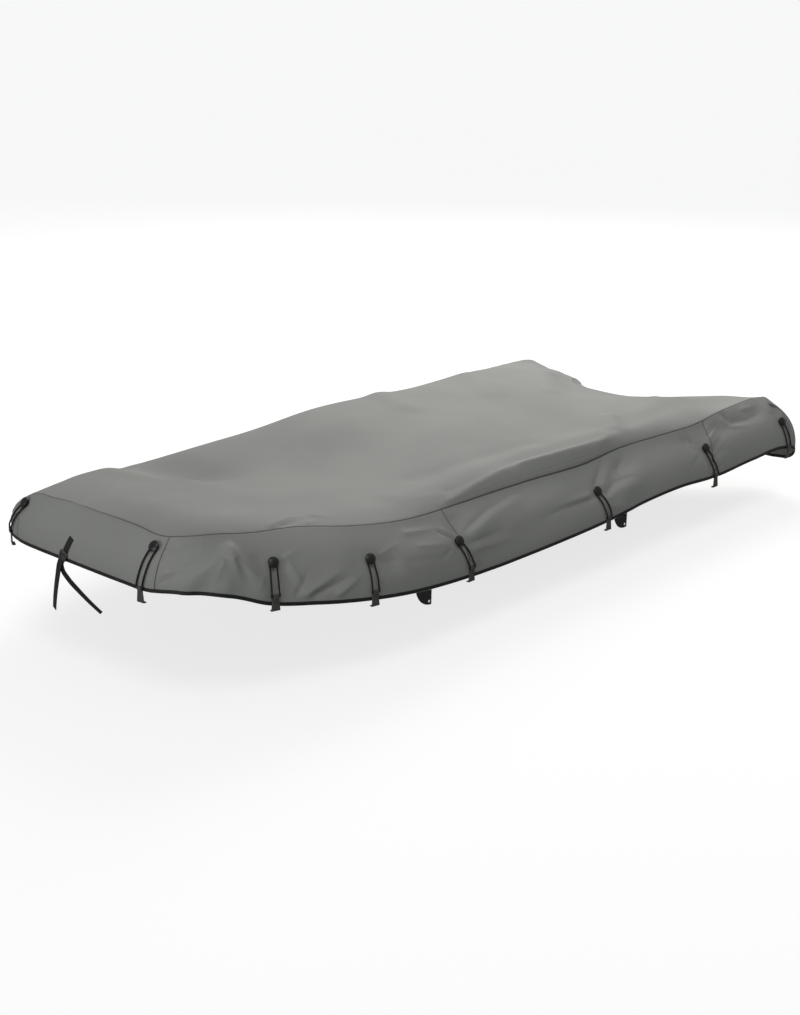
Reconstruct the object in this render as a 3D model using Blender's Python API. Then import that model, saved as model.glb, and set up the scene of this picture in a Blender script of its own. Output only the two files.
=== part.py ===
"""A fitted cover: cut cloth panels with a bound hem, knobs with shock-cord loops
and flat hooks, hem tabs and a bow strap.

Metres, +Z up, the bow end towards -X. The origin is the middle of the top
sheet's underside, which is where the cover is held up. Places on the walls are
given as (run, rise): run is the distance from the nose along the widest line,
and rise the distance up the cloth from that line. The near side is -Y.
"""

from collections import namedtuple
import math

import bpy
import bmesh
import numpy as np
from mathutils import Vector
from mathutils.bvhtree import BVHTree

# ---- driving sizes -------------------------------------------------------
LENGTH = 3.30
BEAM = 1.475
NOSE_WIDTH = 1.034
BAY_DEPTH = 0.32          # how far the stern edge runs in between its two lobes
CLOTH = 0.0015
SEAM_GAP = 0.0004
BINDING_WIDTH = 0.014
BINDING_THICK = 0.0032
CLEAR = 0.0003
FACET_DEPTH = 0.0006      # a facet's middle lies this far inside the true curve

BOW_RISE = 0.172          # the widest line's height at the nose over amidships
RISE_STARTS_X = -0.295
RISE_POWER = 1.666

PANEL_STEP = 0.076        # target cell along the walls
CORNER_TIGHTEN = 0.16     # cells shrink where the outline turns
WALL_ROWS = 5
TOP_COLUMNS = 18

# ---- the plan outline of the widest line, from the nose to the middle of the stern
Corner = namedtuple("Corner", "x y rounding")
CORNERS = (
    Corner(-LENGTH / 2, 0.0, 0.0),
    Corner(-LENGTH / 2, NOSE_WIDTH / 2, 0.242),
    Corner(-0.958, BEAM / 2, 0.219),
    Corner(LENGTH / 2, BEAM / 2, 0.070),
    Corner(LENGTH / 2, 0.475, 0.130),
    Corner(LENGTH / 2 - BAY_DEPTH, 0.200, 0.140),
    Corner(LENGTH / 2 - BAY_DEPTH, 0.0, 0.0),
)
CORNER_POINTS = 12

# ---- wall sections along the run: how round the wall is, how far up the seam
# lies on that roundness on each side, how far the line is lifted at the stern, and
# how far the hem lies over (+) or under (-) the line
Section = namedtuple("Section", "run radius near_deg far_deg line_up near_hem far_hem")
SECTIONS = (
    Section(0.00, 0.222, 49.0, 49.0, 0.000, 0.000, 0.000),
    Section(0.10, 0.222, 49.5, 49.5, 0.000, 0.000, 0.000),
    Section(0.22, 0.222, 49.0, 47.5, 0.000, 0.001, 0.000),
    Section(0.35, 0.222, 47.5, 44.0, 0.000, 0.004, 0.002),
    Section(0.46, 0.222, 52.5, 25.0, 0.000, 0.022, 0.006),
    Section(0.62, 0.222, 61.0, 27.0, 0.000, 0.028, 0.018),
    Section(0.78, 0.222, 65.0, 34.5, 0.000, 0.000, 0.003),
    Section(0.92, 0.222, 71.0, 43.0, 0.000, -0.002, 0.008),
    Section(1.16, 0.222, 69.5, 39.0, 0.000, -0.002, 0.000),
    Section(1.45, 0.222, 67.0, 50.0, 0.000, -0.002, 0.006),
    Section(1.78, 0.222, 70.0, 68.0, 0.000, 0.001, 0.010),
    Section(2.10, 0.222, 68.0, 70.0, 0.000, 0.001, 0.012),
    Section(2.42, 0.222, 64.0, 67.0, 0.000, 0.008, 0.000),
    Section(2.67, 0.222, 68.0, 66.0, 0.000, 0.025, 0.012),
    Section(2.90, 0.222, 66.0, 65.0, 0.000, 0.028, 0.020),
    Section(3.14, 0.222, 63.5, 56.0, 0.000, 0.014, 0.004),
    Section(3.42, 0.222, 70.0, 51.0, 0.000, 0.022, 0.014),
    Section(3.66, 0.220, 70.0, 42.0, 0.000, 0.018, 0.012),
    Section(3.74, 0.212, 68.5, 34.0, 0.001, -0.004, -0.008),
    Section(3.81, 0.202, 66.0, 28.0, 0.002, -0.062, -0.062),
    Section(3.88, 0.190, 64.0, 22.0, 0.004, -0.078, -0.078),
    Section(4.00, 0.156, 62.5, 12.0, 0.024, -0.096, -0.096),
    Section(4.12, 0.128, 62.5, 8.0, 0.046, -0.116, -0.118),
    Section(4.22, 0.104, 66.0, 26.0, 0.060, -0.130, -0.132),
    Section(4.34, 0.085, 70.0, 70.0, 0.075, -0.150, -0.150),
    Section(4.65, 0.070, 72.0, 72.0, 0.084, -0.160, -0.160),
)

# ---- heights of the top sheet over the widest line amidships
Crown = namedtuple("Crown", "x near middle far")
CROWNS = (
    Crown(-1.60, 0.374, 0.358, 0.272),
    Crown(-1.43, 0.370, 0.354, 0.276),
    Crown(-1.24, 0.338, 0.322, 0.276),
    Crown(-1.08, 0.310, 0.292, 0.252),
    Crown(-0.92, 0.282, 0.262, 0.200),
    Crown(-0.70, 0.258, 0.244, 0.232),
    Crown(-0.47, 0.248, 0.242, 0.257),
    Crown(-0.14, 0.262, 0.260, 0.292),
    Crown(0.30, 0.258, 0.256, 0.268),
    Crown(0.58, 0.244, 0.238, 0.244),
    Crown(0.90, 0.234, 0.222, 0.236),
    Crown(1.15, 0.216, 0.184, 0.206),
    Crown(1.32, 0.190, 0.152, 0.170),
    Crown(1.48, 0.200, 0.142, 0.138),
    Crown(1.65, 0.204, 0.138, 0.070),
)
# how far in from its seams the top sheet levels out
Shoulder = namedtuple("Shoulder", "x near far")
SHOULDERS = (
    Shoulder(-1.60, 0.150, 0.150),
    Shoulder(-0.70, 0.130, 0.150),
    Shoulder(0.00, 0.100, 0.150),
    Shoulder(0.70, 0.095, 0.150),
    Shoulder(1.10, 0.130, 0.150),
    Shoulder(1.65, 0.150, 0.150),
)
END_SHOULDER = 0.150
CROWN_PLACE = 0.44        # how far out, in half widths of the sheet, the side crowns lie

# ---- seams across the wall: run at the hem and at the top
Seam = namedtuple("Seam", "at_hem at_top")
BOW_SEAM = Seam(0.369, 0.387)
FORE_SEAM = Seam(1.622, 1.618)
AFT_SEAM = Seam(3.115, 3.212)
STERN_SEAM = Seam(3.695, 3.740)
LOBE_TURN = 3.87          # where the top sheet's sides end and its stern edge starts

# ---- main folds. Side is -1 near and +1 far; lift is out (+) or in (-)
WallFold = namedtuple("WallFold", "side run0 rise0 run1 rise1 width lift")
WALL_FOLDS = (
    WallFold(-1, 0.655, 0.165, 0.480, 0.040, 0.034, 0.009),
    WallFold(-1, 0.655, 0.165, 0.735, 0.030, 0.034, 0.008),
    WallFold(-1, 0.650, 0.130, 0.610, 0.050, 0.030, 0.007),
    WallFold(-1, 0.545, 0.070, 0.530, 0.030, 0.030, -0.007),
    WallFold(-1, 0.760, 0.120, 0.800, 0.060, 0.045, -0.007),
    WallFold(-1, 1.120, 0.120, 1.260, 0.110, 0.045, -0.007),
    WallFold(-1, 1.300, 0.090, 1.520, 0.130, 0.050, 0.006),
    WallFold(-1, 1.590, 0.130, 1.640, 0.200, 0.040, -0.008),
    WallFold(-1, 1.700, 0.150, 1.960, 0.215, 0.045, 0.008),
    WallFold(-1, 1.720, 0.070, 2.360, 0.118, 0.050, -0.007),
    WallFold(-1, 1.900, 0.140, 2.200, 0.170, 0.055, 0.006),
    WallFold(-1, 2.430, 0.125, 2.620, 0.185, 0.045, -0.008),
    WallFold(-1, 2.520, 0.080, 2.660, 0.130, 0.050, 0.007),
    WallFold(-1, 3.050, 0.190, 3.150, 0.060, 0.040, -0.007),
    WallFold(-1, 3.280, 0.190, 3.560, 0.200, 0.040, -0.009),
    WallFold(1, 0.560, 0.110, 0.640, 0.030, 0.045, 0.008),
    WallFold(1, 0.800, 0.120, 0.900, 0.150, 0.050, -0.007),
    WallFold(1, 1.140, 0.110, 1.360, 0.150, 0.050, -0.008),
    WallFold(1, 1.620, 0.120, 1.900, 0.190, 0.050, 0.008),
    WallFold(1, 1.980, 0.080, 2.380, 0.120, 0.055, -0.008),
    WallFold(1, 2.440, 0.120, 2.700, 0.170, 0.050, -0.007),
    WallFold(1, 2.800, 0.060, 2.960, 0.160, 0.050, 0.007),
    WallFold(1, 3.200, 0.190, 3.480, 0.190, 0.045, -0.008),
)
TopFold = namedtuple("TopFold", "x0 y0 x1 y1 width lift")
TOP_FOLDS = (
    TopFold(-0.62, -0.46, 0.50, -0.505, 0.060, 0.012),
    TopFold(-0.40, -0.36, 0.20, -0.420, 0.050, -0.008),
    TopFold(0.62, -0.50, 0.74, -0.38, 0.045, 0.014),
    TopFold(-1.14, 0.50, -1.02, 0.20, 0.070, 0.014),
    TopFold(0.29, 0.50, 0.20, 0.25, 0.060, 0.012),
    TopFold(0.86, 0.50, 0.70, 0.22, 0.060, 0.010),
    TopFold(1.30, 0.42, 0.95, 0.10, 0.070, 0.012),
    TopFold(1.30, -0.30, 0.90, -0.42, 0.060, 0.008),
)

# ---- knobs, loops and flat hooks: the knob's run and rise, the hook's run, and how
# far the hook's plate reaches up over the binding's lower edge
Fastening = namedtuple("Fastening", "name side knob_run knob_rise hook_run over_hem")
FASTENINGS = (
    Fastening("near_1", -1, 0.343, 0.141, 0.311, 0.003),
    Fastening("near_2", -1, 0.793, 0.131, 0.780, 0.028),
    Fastening("near_3", -1, 1.163, 0.128, 1.156, 0.024),
    Fastening("near_4", -1, 1.597, 0.126, 1.623, 0.030),
    Fastening("near_5", -1, 2.394, 0.125, 2.418, 0.013),
    Fastening("near_6", -1, 3.116, 0.132, 3.137, 0.005),
    Fastening("near_7", -1, 3.665, 0.121, 3.680, 0.003),
    Fastening("far_1", 1, 0.360, 0.128, 0.440, 0.012),
    Fastening("far_2", 1, 0.800, 0.100, 0.792, 0.026),
    Fastening("far_3", 1, 1.170, 0.100, 1.165, 0.024),
    Fastening("far_4", 1, 1.600, 0.128, 1.610, 0.028),
    Fastening("far_5", 1, 2.400, 0.128, 2.418, 0.013),
    Fastening("far_6", 1, 3.110, 0.130, 3.120, 0.005),
    Fastening("far_7", 1, 3.660, 0.118, 3.672, 0.003),
)
KNOB_SIDES = 10
# the knob's turned outline: distance from its base, radius
Turn = namedtuple("Turn", "height radius")
KNOB_OUTLINE = (
    Turn(0.0, 0.0140),
    Turn(0.0010, 0.0140),
    Turn(0.0014, 0.0080),
    Turn(0.0092, 0.0080),
    Turn(0.0100, 0.0185),
    Turn(0.0126, 0.0195),
    Turn(0.0160, 0.0165),
    Turn(0.0182, 0.0090),
)
# the knob's foot is seated over the highest cloth under this pattern of points
SEAT_SPOKES = 30
SEAT_SHARES = (0.15, 0.3, 0.45, 0.6, 0.75, 0.9, 1.02)
CORD_RADIUS = 0.0030
CORD_AT_STEM = 0.0056     # the cord's centre over the knob's base
LOOP_BEND = 0.0124        # radius of the cord's centre line round the stem
CORD_OFF_CLOTH = 0.0006
LEG_STEPS = (0.22, 0.42, 0.62, 0.82)
LEG_TURN = 0.0038         # the cord comes this far out of the head before it turns up
LEG_LEVEL = 0.0190         # the legs lie level with the stem's bend out to here

HOOK_HEAD_WIDTH = 0.0190
HOOK_HEAD_HEIGHT = 0.0130
HOOK_TOP_WIDTH = 0.0240
HOOK_FOOT_WIDTH = 0.0330
HOOK_BODY = 0.0440
HOOK_THICK = 0.0030
HOOK_LIP = 0.0100
HOOK_HEAD_THICK = 0.0085
HOOK_HEAD_STEP = 0.0015   # the head slopes down to the plate over this height
HOOK_CORD_SHARE = 0.45    # how far up the head the cord goes in
HOOK_SEAT_COLUMNS = 9
HOOK_SEAT_ROWS = 12

# ---- hem tabs
HEM_TAB_RUNS = (1.378, 2.497)
TAB_WIDTH = 0.078
TAB_HEIGHT = 0.054
TAB_THICK = 0.0015
TAB_EYELET = 0.0080
TAB_EYELET_RIM = 0.0070
TAB_TIP_IN = 0.002        # the tip lies this far fore of the after edge's top
TAB_TIP_WIDTH = 0.012
TAB_HOLLOW = (0.28, 0.92)  # how far back and down the fore edge's curve is pulled
TAB_EYELET_OVER_TIP = 0.002
TAB_CURVE_POINTS = 7
TAB_GAP = 0.0008

# ---- bow strap
WEBBING_WIDTH = 0.025
WEBBING_THICK = 0.0018
BUCKLE_WIDTH = 0.036
BUCKLE_HEIGHT = 0.030
BUCKLE_THICK = 0.010
BUCKLE_EDGE = 0.002
Place = namedtuple("Place", "x y z")
STRAP_TILT_DEG = 25.0     # the buckle and its tab lean this far from upright
STRAP_GAP = 0.0006
TAB_LENGTH = 0.058
# on the far side of the nose; heights over the widest line amidships
BUCKLE_AT = Place(-1.6572, 0.0885, 0.1800)
# both straps leave the buckle's lower edge, the free tail in front
TAIL_FORWARD = 0.0033
TAIL_ROUTE = (
    Place(-1.6625, 0.1035, 0.1475),
    Place(-1.6670, 0.1120, 0.1050),
    Place(-1.6700, 0.1210, 0.0600),
    Place(-1.6710, 0.1300, 0.0150),
    Place(-1.6690, 0.1385, -0.0220),
)
LONG_FORWARD = -0.0022
LONG_ROUTE = (
    Place(-1.6560, 0.1025, 0.1500),
    Place(-1.6560, 0.0965, 0.1250),
    Place(-1.6520, 0.0720, 0.0970),
    Place(-1.6410, 0.0330, 0.0620),
    Place(-1.6230, -0.0020, 0.0240),
    Place(-1.6020, -0.0330, -0.0120),
)
# the way the straps' outer faces look, at the buckle and at their free ends
FACING_BOW = (-1.0, 0.0, 0.05)
TAIL_END_FACING = (-1.0, 0.25, 0.0)
LONG_END_FACING = (-0.90, 0.05, -0.25)


# ---- small helpers --------------------------------------------------------
def clear_scene():
    for thing in list(bpy.data.objects):
        bpy.data.objects.remove(thing, do_unlink=True)


def material(name, colour, roughness, metallic=0.0):
    made = bpy.data.materials.new(name)
    made.use_nodes = True
    shader = made.node_tree.nodes["Principled BSDF"]
    shader.inputs["Base Color"].default_value = (*colour, 1.0)
    shader.inputs["Roughness"].default_value = roughness
    shader.inputs["Metallic"].default_value = metallic
    return made


def add_object(name, mesh_or_curve, surface):
    made = bpy.data.objects.new(name, mesh_or_curve)
    made.data.materials.append(surface)
    bpy.context.scene.collection.objects.link(made)
    return made


def mesh_object(name, points, faces, surface, sharp_deg=40):
    mesh = bpy.data.meshes.new(name)
    mesh.from_pydata([tuple(map(float, p)) for p in points], [], faces)
    mesh.validate()
    mesh.shade_smooth()
    mesh.set_sharp_from_angle(angle=math.radians(sharp_deg))
    return add_object(name, mesh, surface)


def smooth_table(at, places, values):
    """A soft curve through a table's rows (cubic, with slopes from the neighbours)."""
    places = np.asarray(places, float)
    values = np.asarray(values, float)
    slopes = np.gradient(values, places)
    at = np.clip(at, places[0], places[-1])
    row = np.clip(np.searchsorted(places, at) - 1, 0, len(places) - 2)
    span = places[row + 1] - places[row]
    t = (at - places[row]) / span
    return (
        (2 * t**3 - 3 * t**2 + 1) * values[row]
        + (t**3 - 2 * t**2 + t) * span * slopes[row]
        + (3 * t**2 - 2 * t**3) * values[row + 1]
        + (t**3 - t**2) * span * slopes[row + 1]
    )


# ---- the outline -----------------------------------------------------------
def half_outline():
    """Points of the outline from the nose to the stern's middle, on the +Y side."""
    points = [(CORNERS[0].x, CORNERS[0].y)]
    for before, corner, after in zip(CORNERS, CORNERS[1:], CORNERS[2:]):
        middle = np.array([corner.x, corner.y])
        back = np.array([before.x, before.y]) - middle
        ahead = np.array([after.x, after.y]) - middle
        start = middle + back / np.linalg.norm(back) * corner.rounding
        end = middle + ahead / np.linalg.norm(ahead) * corner.rounding
        for t in np.linspace(0, 1, CORNER_POINTS):
            points.append((1 - t) ** 2 * start + 2 * t * (1 - t) * middle + t * t * end)
    points.append((CORNERS[-1].x, CORNERS[-1].y))
    return np.array(points)


class Outline:
    """The closed widest line. Loop places run from the nose along the near side,
    round the stern, and back along the far side."""

    STEP = 0.01
    SOFTEN = 0.05

    def __init__(self):
        half = half_outline()
        lengths = np.linalg.norm(np.diff(half, axis=0), axis=1)
        along = np.concatenate([[0], np.cumsum(lengths)])
        self.half = along[-1]
        self.whole = 2 * self.half
        count = int(round(self.whole / self.STEP))
        self.places = np.arange(count) * self.whole / count
        run = np.minimum(self.places, self.whole - self.places)
        side = np.where(self.places < self.half, -1.0, 1.0)
        self.xs = np.interp(run, along, half[:, 0])
        self.ys = side * np.interp(run, along, half[:, 1])
        reach = int(self.SOFTEN / self.STEP)
        dx = np.roll(self.xs, -reach) - np.roll(self.xs, reach)
        dy = np.roll(self.ys, -reach) - np.roll(self.ys, reach)
        size = np.hypot(dx, dy)
        self.out_x = dy / size
        self.out_y = -dx / size
        if self.out_x[0] > 0:
            self.out_x = -self.out_x
            self.out_y = -self.out_y

    def _at(self, values, place):
        place = np.mod(place, self.whole)
        return np.interp(place, self.places, values, period=self.whole)

    def point(self, place):
        return self._at(self.xs, place), self._at(self.ys, place)

    def out(self, place):
        x = self._at(self.out_x, place)
        y = self._at(self.out_y, place)
        size = np.hypot(x, y)
        return x / size, y / size

    def run(self, place):
        place = np.mod(place, self.whole)
        return np.minimum(place, self.whole - place)

    def side(self, place):
        return np.where(np.mod(place, self.whole) < self.half, -1, 1)

    def place(self, side, run):
        return run if side < 0 else self.whole - run


OUTLINE = Outline()


def section_value(place, near_column, far_column=None):
    """A section column at loop places; the far side has its own column if given."""
    run = OUTLINE.run(place)
    runs = [row.run for row in SECTIONS]
    near = smooth_table(run, runs, [getattr(row, near_column) for row in SECTIONS])
    if far_column is None:
        return near
    far = smooth_table(run, runs, [getattr(row, far_column) for row in SECTIONS])
    # the two sides meet at the nose and at the stern's middle
    blend = np.clip(np.minimum(run, OUTLINE.half - run) / 0.15, 0, 1)
    mean = (near + far) / 2
    chosen = np.where(OUTLINE.side(place) < 0, near, far)
    return mean * (1 - blend) + chosen * blend


def line_rise(x):
    span = RISE_STARTS_X + LENGTH / 2
    share = np.clip((RISE_STARTS_X - x) / span, 0, 1)
    return BOW_RISE * share**RISE_POWER


def line_height(place):
    x, _ = OUTLINE.point(place)
    return line_rise(x) + section_value(place, "line_up")


def seam_rise(place):
    angle = np.radians(section_value(place, "near_deg", "far_deg"))
    return angle * section_value(place, "radius")


def hem_rise(place):
    return section_value(place, "near_hem", "far_hem")


def capsule(px, py, x0, y0, x1, y1, width):
    """1 on a line between two points, fading softly with the distance from it."""
    dx, dy = x1 - x0, y1 - y0
    t = np.clip(((px - x0) * dx + (py - y0) * dy) / (dx * dx + dy * dy), 0, 1)
    off = np.hypot(px - x0 - t * dx, py - y0 - t * dy)
    return np.exp(-((off / width) ** 2))


def wall_lift(place, rise):
    """How far the folds push the wall out; nothing at the top seam."""
    run = OUTLINE.run(place)
    side = OUTLINE.side(place)
    total = np.zeros(np.broadcast(place, rise).shape)
    for f in WALL_FOLDS:
        mark = capsule(run, rise, f.run0, f.rise0, f.run1, f.rise1, f.width)
        total = total + np.where(side == f.side, f.lift * mark, 0)
    below_seam = np.clip((seam_rise(place) - rise) / 0.05, 0, 1)
    return total * below_seam * below_seam * (3 - 2 * below_seam)


def wall(place, rise, lift=0.0):
    """(points, outward normals) of the wall's middle surface; lift is further out."""
    place = np.asarray(place, float)
    rise = np.asarray(rise, float)
    radius = section_value(place, "radius")
    x, y = OUTLINE.point(place)
    out_x, out_y = OUTLINE.out(place)
    angle = np.maximum(rise, 0) / radius
    inward = radius * (1 - np.cos(angle))
    height = line_height(place) + np.where(rise > 0, radius * np.sin(angle), rise)
    push = wall_lift(place, rise) + lift
    normal = np.stack([out_x * np.cos(angle), out_y * np.cos(angle), np.sin(angle)], -1)
    point = np.stack([x - out_x * inward, y - out_y * inward, height], -1)
    return point + normal * push[..., None], normal


# ---- the top sheet ---------------------------------------------------------
def loop_stretch(start, end, count):
    """Loop places from start to end, closer together where the outline turns."""
    fine = np.linspace(start, end, 400)
    out_x, out_y = OUTLINE.out(fine)
    turn = np.abs(np.diff(np.unwrap(np.arctan2(out_y, out_x))))
    metric = np.concatenate([[0], np.cumsum(np.abs(np.diff(fine)) + CORNER_TIGHTEN * turn)])
    return np.interp(np.linspace(0, metric[-1], count), metric, fine)


def columns_between(start, end):
    """How many wall columns fit a stretch, counting its turns."""
    out_x, out_y = OUTLINE.out(np.linspace(start, end, 60))
    turned = np.abs(np.diff(np.unwrap(np.arctan2(out_y, out_x)))).sum()
    return int(round((abs(end - start) + CORNER_TIGHTEN * turned) / PANEL_STEP))


def top_places():
    """The columns' places along the top seam, as arrays: nose, fore, mid, aft, the
    lobe's side, and the stern between the two lobes' outer corners."""
    tops = [seam.at_top for seam in (BOW_SEAM, FORE_SEAM, AFT_SEAM, STERN_SEAM)]
    tops.append(LOBE_TURN)
    nose = loop_stretch(-tops[0], tops[0], TOP_COLUMNS + 1)
    sides = [loop_stretch(a, b, columns_between(a, b) + 1) for a, b in zip(tops, tops[1:])]
    stern = loop_stretch(LOBE_TURN, OUTLINE.whole - LOBE_TURN, TOP_COLUMNS + 1)
    return [nose] + sides + [stern]


def joined(stretches):
    return np.concatenate([stretches[0]] + [stretch[1:] for stretch in stretches[1:]])


def top_edges():
    """Loop places of the sheet's four edges: nose, near side, stern, far side."""
    nose, *sides, stern = top_places()
    near = joined(sides)
    return nose, near, stern, OUTLINE.whole - near


def crown_height(x, across):
    """The sheet's free height; across is -1 at the near edge and +1 at the far one."""
    xs = [row.x for row in CROWNS]
    near = smooth_table(x, xs, [row.near for row in CROWNS])
    middle = smooth_table(x, xs, [row.middle for row in CROWNS])
    far = smooth_table(x, xs, [row.far for row in CROWNS])
    side = np.where(across < 0, near, far)
    t = np.clip(np.abs(across) / CROWN_PLACE, 0, 1)
    soft = t * t * (3 - 2 * t)
    return middle * (1 - soft) + side * soft


def shoulder_width(x, side):
    return smooth_table(x, [row.x for row in SHOULDERS], [getattr(row, side) for row in SHOULDERS])


def top_sheet():
    """(points, normals) of the sheet's middle surface, rows from the bow aft and
    columns from the far side to the near side."""
    nose, near, stern, far = top_edges()
    near_edge, near_up = wall(near, seam_rise(near) + SEAM_GAP)
    far_edge, far_up = wall(far, seam_rise(far) + SEAM_GAP)
    nose_edge, nose_up = wall(nose, seam_rise(nose) + SEAM_GAP)
    stern_edge, stern_up = wall(stern, seam_rise(stern) + SEAM_GAP)
    stern_edge, stern_up = stern_edge[::-1], stern_up[::-1]
    u = np.linspace(0, 1, len(near))[:, None, None]
    v = np.linspace(0, 1, TOP_COLUMNS + 1)[None, :, None]
    grid = (
        (1 - v) * far_edge[:, None]
        + v * near_edge[:, None]
        + (1 - u) * nose_edge[None]
        + u * stern_edge[None]
        - (1 - u) * ((1 - v) * nose_edge[0] + v * nose_edge[-1])
        - u * ((1 - v) * stern_edge[0] + v * stern_edge[-1])
    )
    x, y = grid[..., 0], grid[..., 1]
    across = 1 - 2 * v[..., 0] + 0 * x
    free = crown_height(x, across)

    def fade(points, width):
        apart = np.hypot(x - points[..., 0], y - points[..., 1])
        t = np.clip(1 - apart / width, 0, 1)
        return t * t

    near_width = shoulder_width(x, "near")
    far_width = shoulder_width(x, "far")
    near_fade = fade(near_edge[:, None], near_width)
    far_fade = fade(far_edge[:, None], far_width)
    nose_fade = fade(nose_edge[None], END_SHOULDER)
    stern_fade = fade(stern_edge[None], END_SHOULDER)
    low_near = free[:, -1:] - near_edge[:, None, 2]
    low_far = free[:, :1] - far_edge[:, None, 2]
    low_nose = free[:1] - nose_edge[None, :, 2]
    low_stern = free[-1:] - stern_edge[None, :, 2]
    drop = (
        low_near * near_fade
        + low_far * far_fade
        + low_nose * nose_fade
        + low_stern * stern_fade
        - low_nose[:, -1:] * nose_fade * near_fade
        - low_nose[:, :1] * nose_fade * far_fade
        - low_stern[:, -1:] * stern_fade * near_fade
        - low_stern[:, :1] * stern_fade * far_fade
    )
    folds = sum(capsule(x, y, f.x0, f.y0, f.x1, f.y1, f.width) * f.lift for f in TOP_FOLDS)
    edge_free = (1 - near_fade) * (1 - far_fade) * (1 - nose_fade) * (1 - stern_fade)
    grid[..., 2] = free - drop + folds * edge_free
    along_u = np.gradient(grid, axis=0)
    along_v = np.gradient(grid, axis=1)
    normal = np.cross(along_v, along_u)
    normal *= np.sign(normal[..., 2:])
    normal /= np.linalg.norm(normal, axis=-1, keepdims=True)
    normal[:, -1], normal[:, 0] = near_up, far_up
    normal[0], normal[-1] = nose_up, stern_up
    return grid, normal


# ---- solids from surfaces ---------------------------------------------------
def rim(rows, columns):
    """Grid indices round the border, in order."""
    first = [(0, c) for c in range(columns)]
    last = [(rows - 1, c) for c in range(columns - 1, -1, -1)]
    right = [(r, columns - 1) for r in range(1, rows - 1)]
    left = [(r, 0) for r in range(rows - 2, 0, -1)]
    return first + right + last + left


def sheet_object(name, grid, normal, thickness, surface):
    """A closed sheet, this thick, round a grid of middle points."""
    rows, columns = grid.shape[:2]
    count = rows * columns
    outer = (grid + normal * thickness / 2).reshape(-1, 3)
    inner = (grid - normal * thickness / 2).reshape(-1, 3)
    faces = []
    for r in range(rows - 1):
        for c in range(columns - 1):
            a, b = r * columns + c, r * columns + c + 1
            d, e = a + columns, b + columns
            faces.append((a, b, e, d))
            faces.append((a + count, d + count, e + count, b + count))
    border = [r * columns + c for r, c in rim(rows, columns)]
    for a, b in zip(border, border[1:] + border[:1]):
        faces.append((b, a, a + count, b + count))
    made = mesh_object(name, np.vstack([outer, inner]), faces, surface)
    face_outwards(made)
    return made


def face_outwards(thing):
    """Turns the mesh so that its faces agree and point out."""
    shell = bmesh.new()
    shell.from_mesh(thing.data)
    bmesh.ops.recalc_face_normals(shell, faces=shell.faces)
    if shell.calc_volume(signed=True) < 0:
        bmesh.ops.reverse_faces(shell, faces=shell.faces)
    shell.to_mesh(thing.data)
    shell.free()


def lifted(points, up):
    return points + np.array([0, 0, up])


# ---- cloth ------------------------------------------------------------------
def hem_places(tops, start, end):
    """Where columns at these top places meet the hem, between two slanting seams."""
    share = (tops - tops[0]) / (tops[-1] - tops[0])
    return tops + (start.at_hem - start.at_top) * (1 - share) + (end.at_hem - end.at_top) * share


def wall_panel(name, tops, start, end, up, surface):
    """A wall panel on columns at these top places, between two seams."""
    hems = hem_places(tops, start, end)
    trim = np.zeros(len(tops))
    trim[0] = math.copysign(SEAM_GAP / 2, tops[-1] - tops[0])
    trim[-1] = -trim[0]
    t = np.linspace(0, 1, WALL_ROWS + 1)[:, None]
    place = (1 - t) * hems + t * tops + trim
    low = hem_rise(place) + CLEAR
    high = seam_rise(place)
    grid, normal = wall(place, low + t * (high - low))
    return sheet_object(name, lifted(grid, up), normal, CLOTH, surface)


def mirrored(seam):
    return Seam(OUTLINE.whole - seam.at_hem, OUTLINE.whole - seam.at_top)


def turned_back(seam):
    return Seam(-seam.at_hem, -seam.at_top)


def wall_layout():
    """(name, top places, start seam, end seam) of every wall panel, round the loop."""
    nose, fore, mid, aft, lobe, stern = top_places()
    whole = OUTLINE.whole
    round_stern = joined([lobe, stern, whole - lobe[::-1]])
    near = (BOW_SEAM, FORE_SEAM, AFT_SEAM, STERN_SEAM)
    rows = [("bow_panel", nose, turned_back(BOW_SEAM), BOW_SEAM)]
    for word, tops, start, end in zip(("fore", "mid", "aft"), (fore, mid, aft), near, near[1:]):
        rows.append(("side_panel_near_" + word, tops, start, end))
    rows.append(("stern_panel", round_stern, STERN_SEAM, mirrored(STERN_SEAM)))
    for word, tops, start, end in zip(("aft", "mid", "fore"), (aft, mid, fore), near[:0:-1], near[2::-1]):
        rows.append(("side_panel_far_" + word, whole - tops[::-1], mirrored(start), mirrored(end)))
    return rows


def cloth_panels(up, cloth):
    grid, normal = top_sheet()
    panels = [sheet_object("top_panel", lifted(grid, up), normal, CLOTH, cloth)]
    for name, tops, start, end in wall_layout():
        panels.append(wall_panel(name, tops, start, end, up, cloth))
    return panels


def hem_binding(up, surface):
    """The tape round the hem, one closed ring of four-sided section."""
    stretches = [hem_places(tops, start, end) for _, tops, start, end in wall_layout()]
    places = joined(stretches)[:-1]
    upper, out = wall(places, hem_rise(places))
    out = out * np.array([1, 1, 0])
    out /= np.linalg.norm(out, axis=1, keepdims=True)
    lower = upper - np.array([0, 0, BINDING_WIDTH])
    half = out * BINDING_THICK / 2
    ring = np.stack([upper - half, upper + half, lower + half, lower - half], 1)
    count = len(places)
    faces = []
    for i in range(count):
        after = (i + 1) % count
        for k in range(4):
            m = (k + 1) % 4
            faces.append((i * 4 + k, after * 4 + k, after * 4 + m, i * 4 + m))
    made = mesh_object("hem_binding", lifted(ring.reshape(-1, 3), up), faces, surface)
    face_outwards(made)
    return made


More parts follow.
